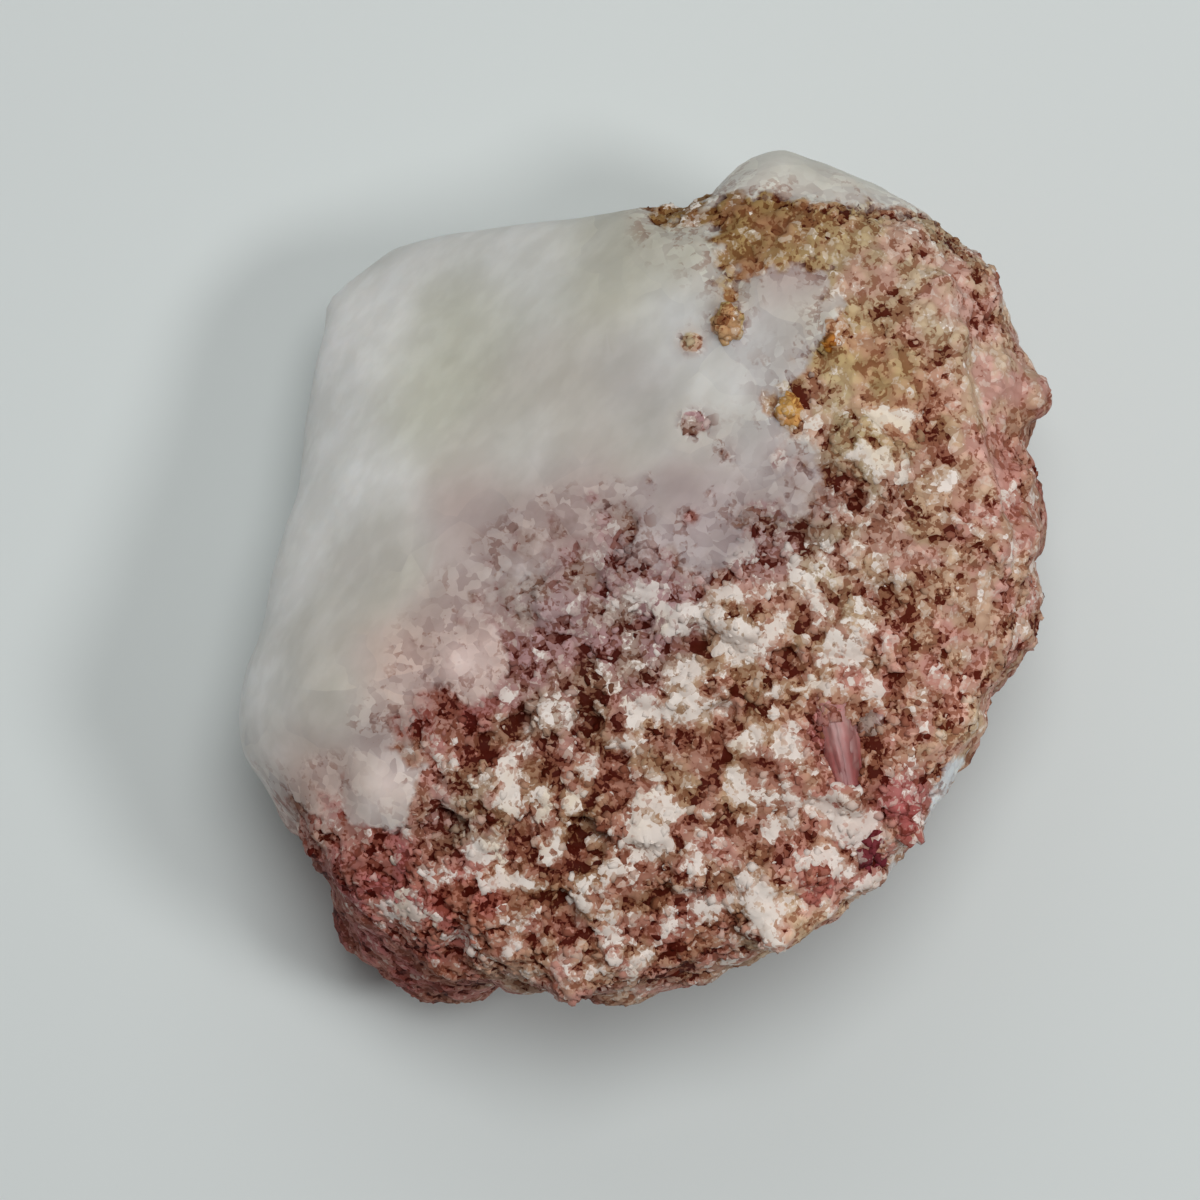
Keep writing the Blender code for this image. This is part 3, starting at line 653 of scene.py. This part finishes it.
def calmed_mesh():
    """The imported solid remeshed, smooth over the quartz, and finest on the granular top."""
    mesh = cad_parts["stone"].data.copy()
    reshape(mesh, lambda shape: bmesh.ops.remove_doubles(shape, verts=shape.verts, dist=1e-6))
    mesh = with_modifier(mesh, "REMESH", mode="VOXEL", voxel_size=VOXEL * MM)
    places, _, edges = mesh_arrays(mesh)
    base = ramp(places[:, 2], *BASE_HEIGHTS)
    share = ramp(quartz_field(places), *ROCK_TO_QUARTZ)
    places = smoothed(places, edges, (ROCK_SMOOTHING + QUARTZ_SMOOTHING * share) * base, 3)
    strength, rounds = SMOOTH_QUARTZ
    places = smoothed(places, edges, strength * share * base, rounds)
    set_places(mesh, places)
    places, _, _ = mesh_arrays(mesh)
    plain = (quartz_field(places) > 1.0) | (places[:, 2] < 0.4)
    kept = 1.0 - plain.mean() * (1.0 - QUARTZ_KEPT)
    mesh = with_modifier(mesh, "DECIMATE", weights=plain, ratio=kept)
    places, normals, _ = mesh_arrays(mesh)
    top = (places[:, 2] > TOP_FROM) & (normals[:, 2] > TOP_SLOPE) & (quartz_field(places) < 0.6)
    refine(mesh, top)
    places, normals, edges = mesh_arrays(mesh)
    base = ramp(places[:, 2], *BASE_HEIGHTS)
    strength, rounds = SMOOTH_ROCK
    rough = ramp(quartz_field(places), *reversed(ROCK_TO_QUARTZ)) * base
    places = smoothed(places, edges, strength * rough, rounds)
    places += normals * (swell_height(places) * ramp(places[:, 2], *BASE_HEIGHTS))[:, None]
    places[:, 2] -= seat_share(places) * SEAT_DROP
    set_places(mesh, places)
    return mesh


def relief_tree():
    """Moves each vertex along its normal by the stone's fine relief."""
    tree = bpy.data.node_groups.new("relief", "GeometryNodeTree")
    for side in ("INPUT", "OUTPUT"):
        tree.interface.new_socket("Geometry", in_out=side, socket_type="NodeSocketGeometry")
    nodes = Nodes(tree)
    scaled = {0: nodes.value("GeometryNodeInputNormal", {}), "Scale": relief(nodes) * MM}
    push = nodes.value("ShaderNodeVectorMath", scaled, operation="SCALE")
    start = nodes.value("NodeGroupInput", {})
    moved = nodes.value("GeometryNodeSetPosition", {"Geometry": start, "Offset": push})
    nodes.node("NodeGroupOutput", {0: moved})
    return tree


def stone_body(material):
    """The stone itself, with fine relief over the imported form."""
    mesh = calmed_mesh()
    store_minerals(mesh, mesh_arrays(mesh)[0])
    mesh = with_modifier(mesh, "NODES", node_group=relief_tree())
    mesh.shade_smooth()
    body = add_piece("stone_body", mesh, material)
    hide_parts("stone")
    return body


def hull_template(rng, corners, stretch):
    """A closed faceted grain: the hull of random points on a ball."""
    shape = bmesh.new()
    for _ in range(corners):
        spot = Vector(rng.normal(size=3)).normalized()
        shape.verts.new([part * size for part, size in zip(spot, stretch)])
    hull = bmesh.ops.convex_hull(shape, input=shape.verts)
    loose = [item for item in hull["geom_interior"] if isinstance(item, bmesh.types.BMVert)]
    bmesh.ops.delete(shape, geom=loose, context="VERTS")
    bmesh.ops.recalc_face_normals(shape, faces=shape.faces)
    shape.verts.index_update()
    places = np.array([vert.co[:] for vert in shape.verts])
    faces = np.array([[vert.index for vert in face.verts] for face in shape.faces])
    shape.free()
    return places, faces


def random_turns(rng, count):
    """Random rotation matrices."""
    quats = rng.normal(size=(count, 4))
    quats /= np.linalg.norm(quats, axis=1)[:, None]
    w, x, y, z = quats.T
    rows = [
        [1 - 2 * (y * y + z * z), 2 * (x * y - z * w), 2 * (x * z + y * w)],
        [2 * (x * y + z * w), 1 - 2 * (x * x + z * z), 2 * (y * z - x * w)],
        [2 * (x * z - y * w), 2 * (y * z + x * w), 1 - 2 * (x * x + y * y)],
    ]
    return np.moveaxis(np.array(rows), 2, 0)


def grain_mesh(name, rng, templates, middles, radii):
    """Many grains as one mesh. Each carries its own middle as the spot it is coloured by."""
    turns = random_turns(rng, len(middles))
    picks = rng.integers(0, len(templates), len(middles))
    places, faces, spots = [], [], []
    start = 0
    for pick, turn, middle, radius in zip(picks, turns, middles, radii):
        corners, sides = templates[pick]
        places.append(corners @ turn.T * radius + middle)
        faces.append(sides + start)
        spots.append(np.repeat(middle[None, :], len(corners), axis=0))
        start += len(corners)
    mesh = bpy.data.meshes.new(name)
    mesh.from_pydata((np.concatenate(places) * MM).tolist(), [], np.concatenate(faces).tolist())
    mesh.shade_smooth()
    return mesh, np.concatenate(spots)


def spread_sites(places, rng, gap):
    """Indices of points picked at random so that none is nearer than gap to another."""
    taken = {}
    chosen = []
    cells = np.floor(places / gap).astype(int)
    steps = [(i, j, k) for i in (-1, 0, 1) for j in (-1, 0, 1) for k in (-1, 0, 1)]
    for index in rng.permutation(len(places)):
        x, y, z = cells[index]
        here = places[index]
        near = (taken.get((x + i, y + j, z + k)) for i, j, k in steps)
        if all(other is None or np.sum((other - here) ** 2) > gap * gap for other in near):
            taken[(x, y, z)] = here
            chosen.append(index)
    return np.array(chosen)


def grow_grains(body, material):
    """Sugary grains all over the granular rock."""
    rng = np.random.default_rng(SEED)
    places, normals, _ = mesh_arrays(body.data)
    rock = (quartz_field(places) < -GRAINS_OFF_QUARTZ) & (places[:, 2] > GRAINS_FROM)
    room = np.flatnonzero(rock & ~(seat_share(places) > 0.5))
    sites = room[spread_sites(places[room], rng, GRAIN_GAP)]
    calm = contrast_field(places)
    templates = [hull_template(rng, GRAIN_CORNERS, GRAIN_STRETCH) for _ in range(GRAIN_SHAPES)]
    for part, start in enumerate(range(0, len(sites), GRAINS_A_PIECE)):
        batch = sites[start:start + GRAINS_A_PIECE]
        radii = rng.uniform(*GRAIN_RADIUS, len(batch))
        sunk = GRAIN_SUNK + CALM_SUNK * (1.0 - calm[batch])
        middles = places[batch] - normals[batch] * (radii * sunk)[:, None]
        name = f"grains_{part + 1}"
        mesh, spots = grain_mesh(name, rng, templates, middles, radii)
        store_minerals(mesh, spots)
        add_piece(name, mesh, material)


def cluster_sites(surface, rng, x, y, half_width, half_height, radius):
    """Points and normals of the top surface, spread over a small oval."""
    spots = rng.uniform(-1.0, 1.0, (CLUSTER_TRIES, 2))
    spots = spots[np.hypot(*spots.T) < 1.0] * (half_width, half_height) + (x, y)
    down = Vector((0.0, 0.0, -1.0))
    found = [surface.ray_cast(Vector((*spot, DROP_FROM)) * MM, down)[:2] for spot in spots]
    places = np.array([place for place, _ in found]) / MM
    normals = np.array([normal for _, normal in found])
    kept = spread_sites(places, rng, CLUSTER_GAP * radius)
    return places[kept], normals[kept]


def grow_clusters(body, material):
    """Inclusions that stand out by their colour, each a few larger grains."""
    rng = np.random.default_rng(SEED + 1)
    shape = bmesh.new()
    shape.from_mesh(body.data)
    surface = BVHTree.FromBMesh(shape)
    shape.free()
    templates = [hull_template(rng, CLUSTER_CORNERS, CLUSTER_STRETCH) for _ in range(CLUSTER_SHAPES)]
    for name, x, y, half_width, half_height, radius, colour in CLUSTERS:
        places, normals = cluster_sites(surface, rng, x, y, half_width, half_height, radius)
        radii = radius * rng.uniform(*CLUSTER_SPREAD, len(places))
        middles = places - normals * (radii * CLUSTER_SUNK)[:, None]
        mesh, _ = grain_mesh(name, rng, templates, middles, radii)
        known = {"tint": colour, "level": CLUSTER_LEVEL, "contrast": CLUSTER_CONTRAST}
        store_minerals(mesh, mesh_arrays(mesh)[0], veil=0.0, quartz=-FAR_IN, **known)
        add_piece(name, mesh, material)


def rod_rings(rng, length, width, angle):
    """Places of one striated rod of a bundle along X, ring by ring from end to end."""
    around = np.linspace(0.0, 2.0 * math.pi, ROD_CORNERS, endpoint=False)
    radius = ROD_SHARE * width * rng.uniform(1.0 - ROD_JITTER, 1.0 + ROD_JITTER)
    centre = width / 2.0 - radius
    ribs = 1.0 + 0.07 * np.cos(3.0 * around) + 0.05 * rng.uniform(-1.0, 1.0, ROD_CORNERS)
    ends = np.sort(rng.uniform(-0.5, 0.5, 2) * ROD_JITTER) + (-0.45, 0.45)
    lean = rng.uniform(-0.5, 0.5, 2)
    rings = []
    for share in np.linspace(0.0, 1.0, ROD_RINGS):
        along = ends[0] + (ends[1] - ends[0]) * share
        taper = 1.0 + (PRISM_TAPER - 1.0) * (along + 0.5)
        tip = 1.0 - 0.45 * ramp(abs(share - 0.5), 0.42, 0.5)
        wave = 1.0 + 0.04 * rng.uniform(-1.0, 1.0, ROD_CORNERS)
        east = taper * (centre * math.sin(angle) + radius * ribs * wave * tip * np.cos(around))
        north = taper * (centre * math.cos(angle) + radius * ribs * wave * tip * np.sin(around))
        slant = (lean[0] * east + lean[1] * north) * abs(share - 0.5)
        rings.append(np.stack([along * length + slant, east, north], axis=1))
    return np.array(rings).reshape(-1, 3)


def rod_faces(start):
    """Faces of a closed rod whose vertices begin at start."""
    count = ROD_CORNERS
    last = start + (ROD_RINGS - 1) * count
    faces = [tuple(range(start, start + count)), tuple(reversed(range(last, last + count)))]
    for ring in range(ROD_RINGS - 1):
        for side in range(count):
            low = start + ring * count + side
            high = start + ring * count + (side + 1) % count
            faces.append((low, low + count, high + count, high))
    return faces


def prism_mesh(name, rng, middle, heading, length, width, rods):
    """A bundle of closed rods, with its own axes' places and how far along each vertex is."""
    angles = np.radians(np.linspace(-ROD_SPREAD, ROD_SPREAD, rods))
    own = np.concatenate([rod_rings(rng, length, width, angle) for angle in angles])
    faces = [face for rod in range(rods) for face in rod_faces(rod * ROD_CORNERS * ROD_RINGS)]
    compass, rise = (math.radians(angle) for angle in heading)
    turn = Matrix.Rotation(compass, 3, "Z") @ Matrix.Rotation(-rise, 3, "Y")
    places = own @ np.array(turn).T + np.array(middle)
    mesh = bpy.data.meshes.new(name)
    mesh.from_pydata((places * MM).tolist(), [], faces)
    reshape(mesh, lambda shape: bmesh.ops.recalc_face_normals(shape, faces=shape.faces))
    mesh.shade_smooth()
    shift = np.repeat(np.arange(rods), ROD_CORNERS * ROD_RINGS)[:, None] * ROD_STEP
    return mesh, own + shift, own[:, 0] / length + 0.5


def grow_prisms(material):
    """Pink tourmaline prisms, striated along their length."""
    rng = np.random.default_rng(SEED + 2)
    for name, middle, heading, length, width, rods, near, far in PRISMS:
        mesh, spots, along = prism_mesh(name, rng, middle, heading, length, width, rods)
        share = ramp(along, *PRISM_FADE)[:, None]
        colours = np.array(near) * (1.0 - share) + np.array(far) * share
        store(mesh, "tint", "FLOAT_COLOR", colours)
        store(mesh, "spot", "FLOAT_VECTOR", spots)
        add_piece(name, mesh, material)


def arithmetic(operation):
    """A method that adds a node for one kind of arithmetic."""
    return lambda self, other: self.nodes.math(operation, self, other)


class Value:
    """What a node gives out. Arithmetic on it adds nodes to the same tree."""

    __add__ = __radd__ = arithmetic("ADD")
    __sub__ = arithmetic("SUBTRACT")
    __mul__ = arithmetic("MULTIPLY")
    __truediv__ = arithmetic("DIVIDE")

    def __init__(self, nodes, socket):
        self.nodes = nodes
        self.socket = socket

    def __rsub__(self, other):
        return self.nodes.math("SUBTRACT", other, self)


def set_inputs(node, inputs):
    """Link values to a node's inputs, and set constants on its own sockets."""
    for key, value in inputs.items():
        if isinstance(value, Value):
            node.id_data.links.new(value.socket, node.inputs[key])
        else:
            node.inputs[key].default_value = value


class Nodes:
    """Short ways to add the nodes of a material or of a relief tree."""

    def __init__(self, tree):
        self.tree = tree
        self.shades = tree.bl_idname == "ShaderNodeTree"

    def node(self, kind, inputs, **settings):
        node = self.tree.nodes.new(kind)
        for key, setting in settings.items():
            setattr(node, key, setting)
        set_inputs(node, inputs)
        return node

    def value(self, kind, inputs, output=0, **settings):
        return Value(self, self.node(kind, inputs, **settings).outputs[output])

    def attribute(self, name, kind="FLOAT"):
        if self.shades:
            part = {"FLOAT": "Fac", "FLOAT_VECTOR": "Vector", "FLOAT_COLOR": "Color"}[kind]
            return self.value("ShaderNodeAttribute", {}, part, attribute_name=name)
        named = {"Name": name}
        return self.value("GeometryNodeInputNamedAttribute", named, "Attribute", data_type=kind)

    def math(self, operation, first, second):
        return self.value("ShaderNodeMath", {0: first, 1: second}, operation=operation)

    def vector(self, operation, first, second):
        return self.value("ShaderNodeVectorMath", {0: first, 1: second}, operation=operation)

    def ramp(self, value, low, high):
        inputs = {"Value": value, "From Min": low, "From Max": high}
        return self.value("ShaderNodeMapRange", inputs, "Result", interpolation_type="SMOOTHSTEP")

    def mix(self, share, first, second, blend="MIX"):
        inputs = {"Factor": share, 6: first, 7: second}
        return self.value("ShaderNodeMix", inputs, 2, data_type="RGBA", blend_type=blend)

    def tinted(self, colour, factors):
        return self.mix(1.0, colour, rgba(factors), "MULTIPLY")

    def between(self, share, colour, low, high):
        """A colour times the low factors where the share is 0, and the high ones at 1."""
        return self.mix(share, self.tinted(colour, low), self.tinted(colour, high))

    def noise(self, spot, size, detail, seed, output=0):
        inputs = {"Vector": spot, "W": seed, "Scale": 1.0 / size, "Detail": detail}
        return self.value("ShaderNodeTexNoise", inputs, output, noise_dimensions="4D")

    def warped(self, spot, size, reach, seed):
        """A spot moved about by smooth noise."""
        centred = self.vector("SUBTRACT", self.noise(spot, size, 1.0, seed, 1), (0.5, 0.5, 0.5))
        return self.vector("ADD", spot, self.vector("MULTIPLY", centred, (reach, reach, reach)))

    def turned(self, spot, degrees):
        """A spot turned about the vertical."""
        inputs = {"Vector": spot, "Angle": math.radians(degrees)}
        return self.value("ShaderNodeVectorRotate", inputs, rotation_type="Z_AXIS")

    def cells(self, spot, size):
        """Crystal cells: distance to the middle of each, two random values, and the middle."""
        cell = self.node("ShaderNodeTexVoronoi", {"Vector": spot, "Scale": 1.0 / size})
        colour = {0: Value(self, cell.outputs["Color"])}
        pick, other, _ = self.node("ShaderNodeSeparateXYZ", colour).outputs
        sockets = (cell.outputs["Distance"], pick, other, cell.outputs["Position"])
        return [Value(self, socket) for socket in sockets]


def rgba(colour):
    return (*colour, 1.0)


def mineral_level(nodes, spot):
    """From dark pits and specks, near 0, over plain rock, about 0.5, to white, near 1."""
    distance, pick, other, middle = nodes.cells(nodes.warped(spot, 0.5, 0.45, 3.0), CELL_SIZE)
    small = nodes.cells(nodes.warped(spot, 0.3, 0.3, 7.0), SMALL_CELL_SIZE)[1]
    swirl = (nodes.noise(middle, 1.9, 2.0, 1.0) - 0.5) * 1.2
    drawn = nodes.vector("MULTIPLY", middle, (1.25, 0.7, 1.0))
    clump = nodes.noise(drawn, 0.8, 1.0, 5.0) - 0.5
    contrast = nodes.attribute("contrast")
    grain = (pick - 0.5) * 0.28 + (small - 0.5) * 0.30
    level = nodes.attribute("level") + (swirl + clump) * contrast + grain * (0.35 + contrast * 0.65)
    return level, distance, other


def relief(nodes):
    """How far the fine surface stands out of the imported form, in mm."""
    spot = nodes.attribute("spot", "FLOAT_VECTOR")
    level, distance, other = mineral_level(nodes, spot)
    raised = nodes.ramp(level, 0.60, 0.72) * 0.05
    sunk = nodes.ramp(level, 0.44, 0.22) * -0.22
    rock = distance * distance * -0.12 + raised + sunk + (other - 0.5) * 0.10 + 0.02
    rock *= 0.25 + nodes.attribute("contrast") * 0.75
    wave = (nodes.noise(spot, 2.6, 1.0, 2.0) - 0.5) * 0.25
    ripple = (nodes.noise(spot, 0.8, 1.0, 6.0) - 0.5) * 0.05
    scoop = nodes.cells(nodes.warped(spot, 3.0, 1.6, 51.0), CHIP_SIZE)[0]
    chips = (scoop * scoop - 0.35) * 1.6 + (nodes.noise(spot, 0.9, 2.0, 53.0) - 0.5) * 0.16
    height = nodes.value("ShaderNodeSeparateXYZ", {0: spot}, 2)
    milky = wave + ripple + chips * nodes.ramp(height, *CHIP_HEIGHTS)
    inside = nodes.ramp(nodes.attribute("quartz"), -0.3, 0.6)
    return (rock * (1.0 - inside) + milky * inside) * nodes.attribute("base")


def rock_colour(nodes, spot):
    """Dark specks, then the tint, then paler grains, then white, and what they follow."""
    tint = nodes.attribute("tint", "FLOAT_COLOR")
    level, distance, other = mineral_level(nodes, spot)
    fine = (nodes.noise(spot, 0.20, 1.0, 11.0) - 0.5) * 0.44
    level += fine * (0.3 + nodes.attribute("contrast") * 0.7)

    hue = nodes.ramp(nodes.noise(spot, 1.6, 2.0, 14.0), 0.40, 0.60)
    warm = nodes.between(hue, tint, (1.05, 0.93, 0.99), (0.97, 1.05, 0.92))
    shade = nodes.between(other, warm, (0.80, 0.76, 0.74), (1.2, 1.22, 1.22))
    # Painted shade: each crystal cell darkens towards its edges, as if shade fell between the grains.
    rim = nodes.ramp(distance, 0.30, 0.62)
    shade = nodes.mix(rim * 0.35, shade, nodes.tinted(warm, (0.60, 0.47, 0.42)))
    pale = nodes.mix(0.34, shade, rgba(PALE_GRAIN))

    cream = nodes.ramp(nodes.noise(spot, 3.0, 1.0, 17.0), 0.58, 0.69)
    white = nodes.mix(cream, rgba(WHITE), rgba(CREAM))
    white = nodes.mix(other * 0.6, white, rgba(DULL_WHITE))
    white = nodes.mix(0.18, white, nodes.tinted(tint, (1.5, 1.5, 1.5)))
    fleck = nodes.ramp(nodes.noise(spot, 0.32, 2.0, 43.0), 0.58, 0.66)
    white = nodes.mix(fleck * 0.55, white, nodes.tinted(warm, (1.1, 1.05, 1.0)))

    darkness = nodes.ramp(level, *DARK_TO_MID)
    rock = nodes.between(darkness, warm, (0.16, 0.035, 0.02), (0.53, 0.36, 0.29))
    rock = nodes.mix(nodes.ramp(level, *MID_TO_TINT), rock, shade)
    rock = nodes.mix(nodes.ramp(level, *TINT_TO_PALE), rock, pale)
    rock = nodes.mix(nodes.ramp(level, *PALE_TO_WHITE), rock, white)
    return rock, level, other


def milk_colour(nodes, spot, quartz, veil, level, other):
    """Clouds and wisps drawn out along the slope, and grains where the quartz is thin."""
    drawn = nodes.vector("MULTIPLY", nodes.turned(spot, -50.0), (0.6, 1.0, 1.0))
    cloud = nodes.ramp(nodes.noise(drawn, 2.4, 3.0, 2.0), 0.35, 0.65)
    milk = nodes.attribute("milk", "FLOAT_COLOR")
    milk = nodes.between(cloud, milk, (0.94, 0.94, 0.93), (1.04, 1.04, 1.05))
    wisp = nodes.ramp(nodes.noise(drawn, 0.9, 3.0, 9.0), 0.40, 0.66)
    milk = nodes.between(wisp, milk, (0.97, 0.965, 0.96), (1.04, 1.04, 1.04))
    flat = nodes.cells(nodes.warped(spot, 2.0, 1.2, 61.0), FACET_SIZE)[1]
    facet = nodes.between(flat, milk, (0.92, 0.92, 0.94), (1.07, 1.07, 1.06))
    milk = nodes.mix(nodes.ramp(quartz, 5.0, 3.0), milk, facet)
    near = nodes.ramp(quartz + veil * -1.8, 2.4, 0.2)
    grainy = nodes.between(other, milk, (0.76, 0.68, 0.69), (1.16, 1.16, 1.16))
    milk = nodes.mix(near * 0.8, milk, grainy)
    speck = near * nodes.ramp(level, 0.34, 0.22)
    return nodes.mix(speck * 0.8, milk, nodes.tinted(milk, (0.62, 0.46, 0.42)))


def new_material(name):
    """A material, the tools for its nodes, and its shader."""
    material = bpy.data.materials.new(name)
    material.use_nodes = True
    return material, Nodes(material.node_tree), material.node_tree.nodes["Principled BSDF"]


def stone_material():
    """Granular rock with pale patches and dark specks, passing into milky quartz."""
    material, nodes, shader = new_material("stone")
    spot = nodes.attribute("spot", "FLOAT_VECTOR")
    quartz, veil = nodes.attribute("quartz"), nodes.attribute("veil")
    rock, level, other = rock_colour(nodes, spot)
    milk = milk_colour(nodes, spot, quartz, veil, level, other)
    rock = nodes.mix(veil * nodes.ramp(level, 0.26, 0.50), rock, nodes.tinted(milk, (0.72, 0.66, 0.64)))

    # The boundary frays and softens where a veil lies.
    edge = (nodes.noise(spot, 0.8, 2.0, 23.0) - 0.5) * (2.6 + veil * 3.0)
    inside = nodes.ramp((quartz + edge) / (1.0 + veil * 2.0), -0.3, 0.35)
    set_inputs(shader, {
        "Base Color": nodes.mix(inside, rock, milk),
        "Roughness": 0.60 - inside * 0.18,
        "Subsurface Weight": 0.05 + inside * 0.75,
        "Subsurface Radius": (1.0, 0.85, 0.75),
        "Subsurface Scale": 1.5 * MM,
        "Specular IOR Level": 0.05,
        "IOR": 1.54,
    })
    return material


def tourmaline_material():
    """Glassy pink crystal with streaks along its length."""
    material, nodes, shader = new_material("tourmaline")
    spot = nodes.attribute("spot", "FLOAT_VECTOR")
    tint = nodes.attribute("tint", "FLOAT_COLOR")
    streak = nodes.noise(nodes.vector("MULTIPLY", spot, (0.25, 1.0, 1.0)), 0.4, 2.0, 31.0)
    patch = nodes.noise(spot, 0.9, 2.0, 37.0)
    colour = nodes.mix(nodes.ramp(streak, 0.35, 0.65), nodes.tinted(tint, (0.76, 0.62, 0.60)), tint)
    # Painted highlights: pale patches scattered over the prism.
    pale = nodes.mix(0.3, colour, rgba(PAINTED_PRISM_HIGHLIGHT))
    set_inputs(shader, {
        "Base Color": nodes.mix(nodes.ramp(patch, 0.50, 0.75) * 0.6, colour, pale),
        "Roughness": 0.22 + patch * 0.3,
        "Subsurface Weight": 0.4,
        "Subsurface Radius": (1.0, 0.4, 0.4),
        "Subsurface Scale": 0.5 * MM,
        "Specular IOR Level": 0.3,
        "IOR": 1.63,
    })
    return material


def floor():
    """The plain pale surface that the stone lies on."""
    mesh = bpy.data.meshes.new("floor")
    half = FLOOR_SIZE / 2.0 * MM
    corners = [(-half, -half, 0.0), (half, -half, 0.0), (half, half, 0.0), (-half, half, 0.0)]
    mesh.from_pydata(corners, [], [(0, 1, 2, 3)])
    material, _, shader = new_material("floor")
    look = {"Base Color": rgba(FLOOR_COLOUR), "Roughness": 0.7, "Specular IOR Level": 0.2}
    set_inputs(shader, look)
    mesh.materials.append(material)
    thing = placed("floor", mesh)


def look_at(thing, place, target):
    """Put an object at a place, facing a target."""
    thing.location = Vector(place) * MM
    aim = (Vector(target) - Vector(place)).normalized()
    thing.rotation_euler = aim.to_track_quat("-Z", "Y").to_euler()


def camera():
    """Nearly straight down, from the near side."""
    lens = bpy.data.cameras.new("camera")
    lens.sensor_width = SENSOR_WIDTH
    lens.lens = SENSOR_WIDTH * VIEW_DISTANCE / VIEW_WIDTH
    lens.clip_start = 0.001
    thing = placed("camera", lens)
    rise = math.radians(VIEW_RISE)
    away = Vector((0.0, -math.cos(rise), math.sin(rise))) * VIEW_DISTANCE
    look_at(thing, Vector(VIEW_TARGET) + away, VIEW_TARGET)
    bpy.context.scene.camera = thing


def lights():
    """Soft lights from the right, from above and from behind, under an even pale sky."""
    for name, place, size, watts in LAMPS:
        lamp = bpy.data.lights.new(name, "AREA")
        lamp.shape = "DISK"
        lamp.size = size * MM
        lamp.energy = watts
        look_at(placed(name, lamp), place, LIGHT_TARGET)
    world = bpy.data.worlds.new("sky")
    bpy.context.scene.world = world
    world.use_nodes = True
    sky = {"Color": rgba(SKY_COLOUR), "Strength": SKY_STRENGTH}
    set_inputs(world.node_tree.nodes["Background"], sky)
    bpy.context.scene.view_settings.view_transform = "Standard"


camera()
lights()
floor()
stone = stone_material()
body = stone_body(stone)
grow_grains(body, stone)
grow_clusters(body, stone)
grow_prisms(tourmaline_material())
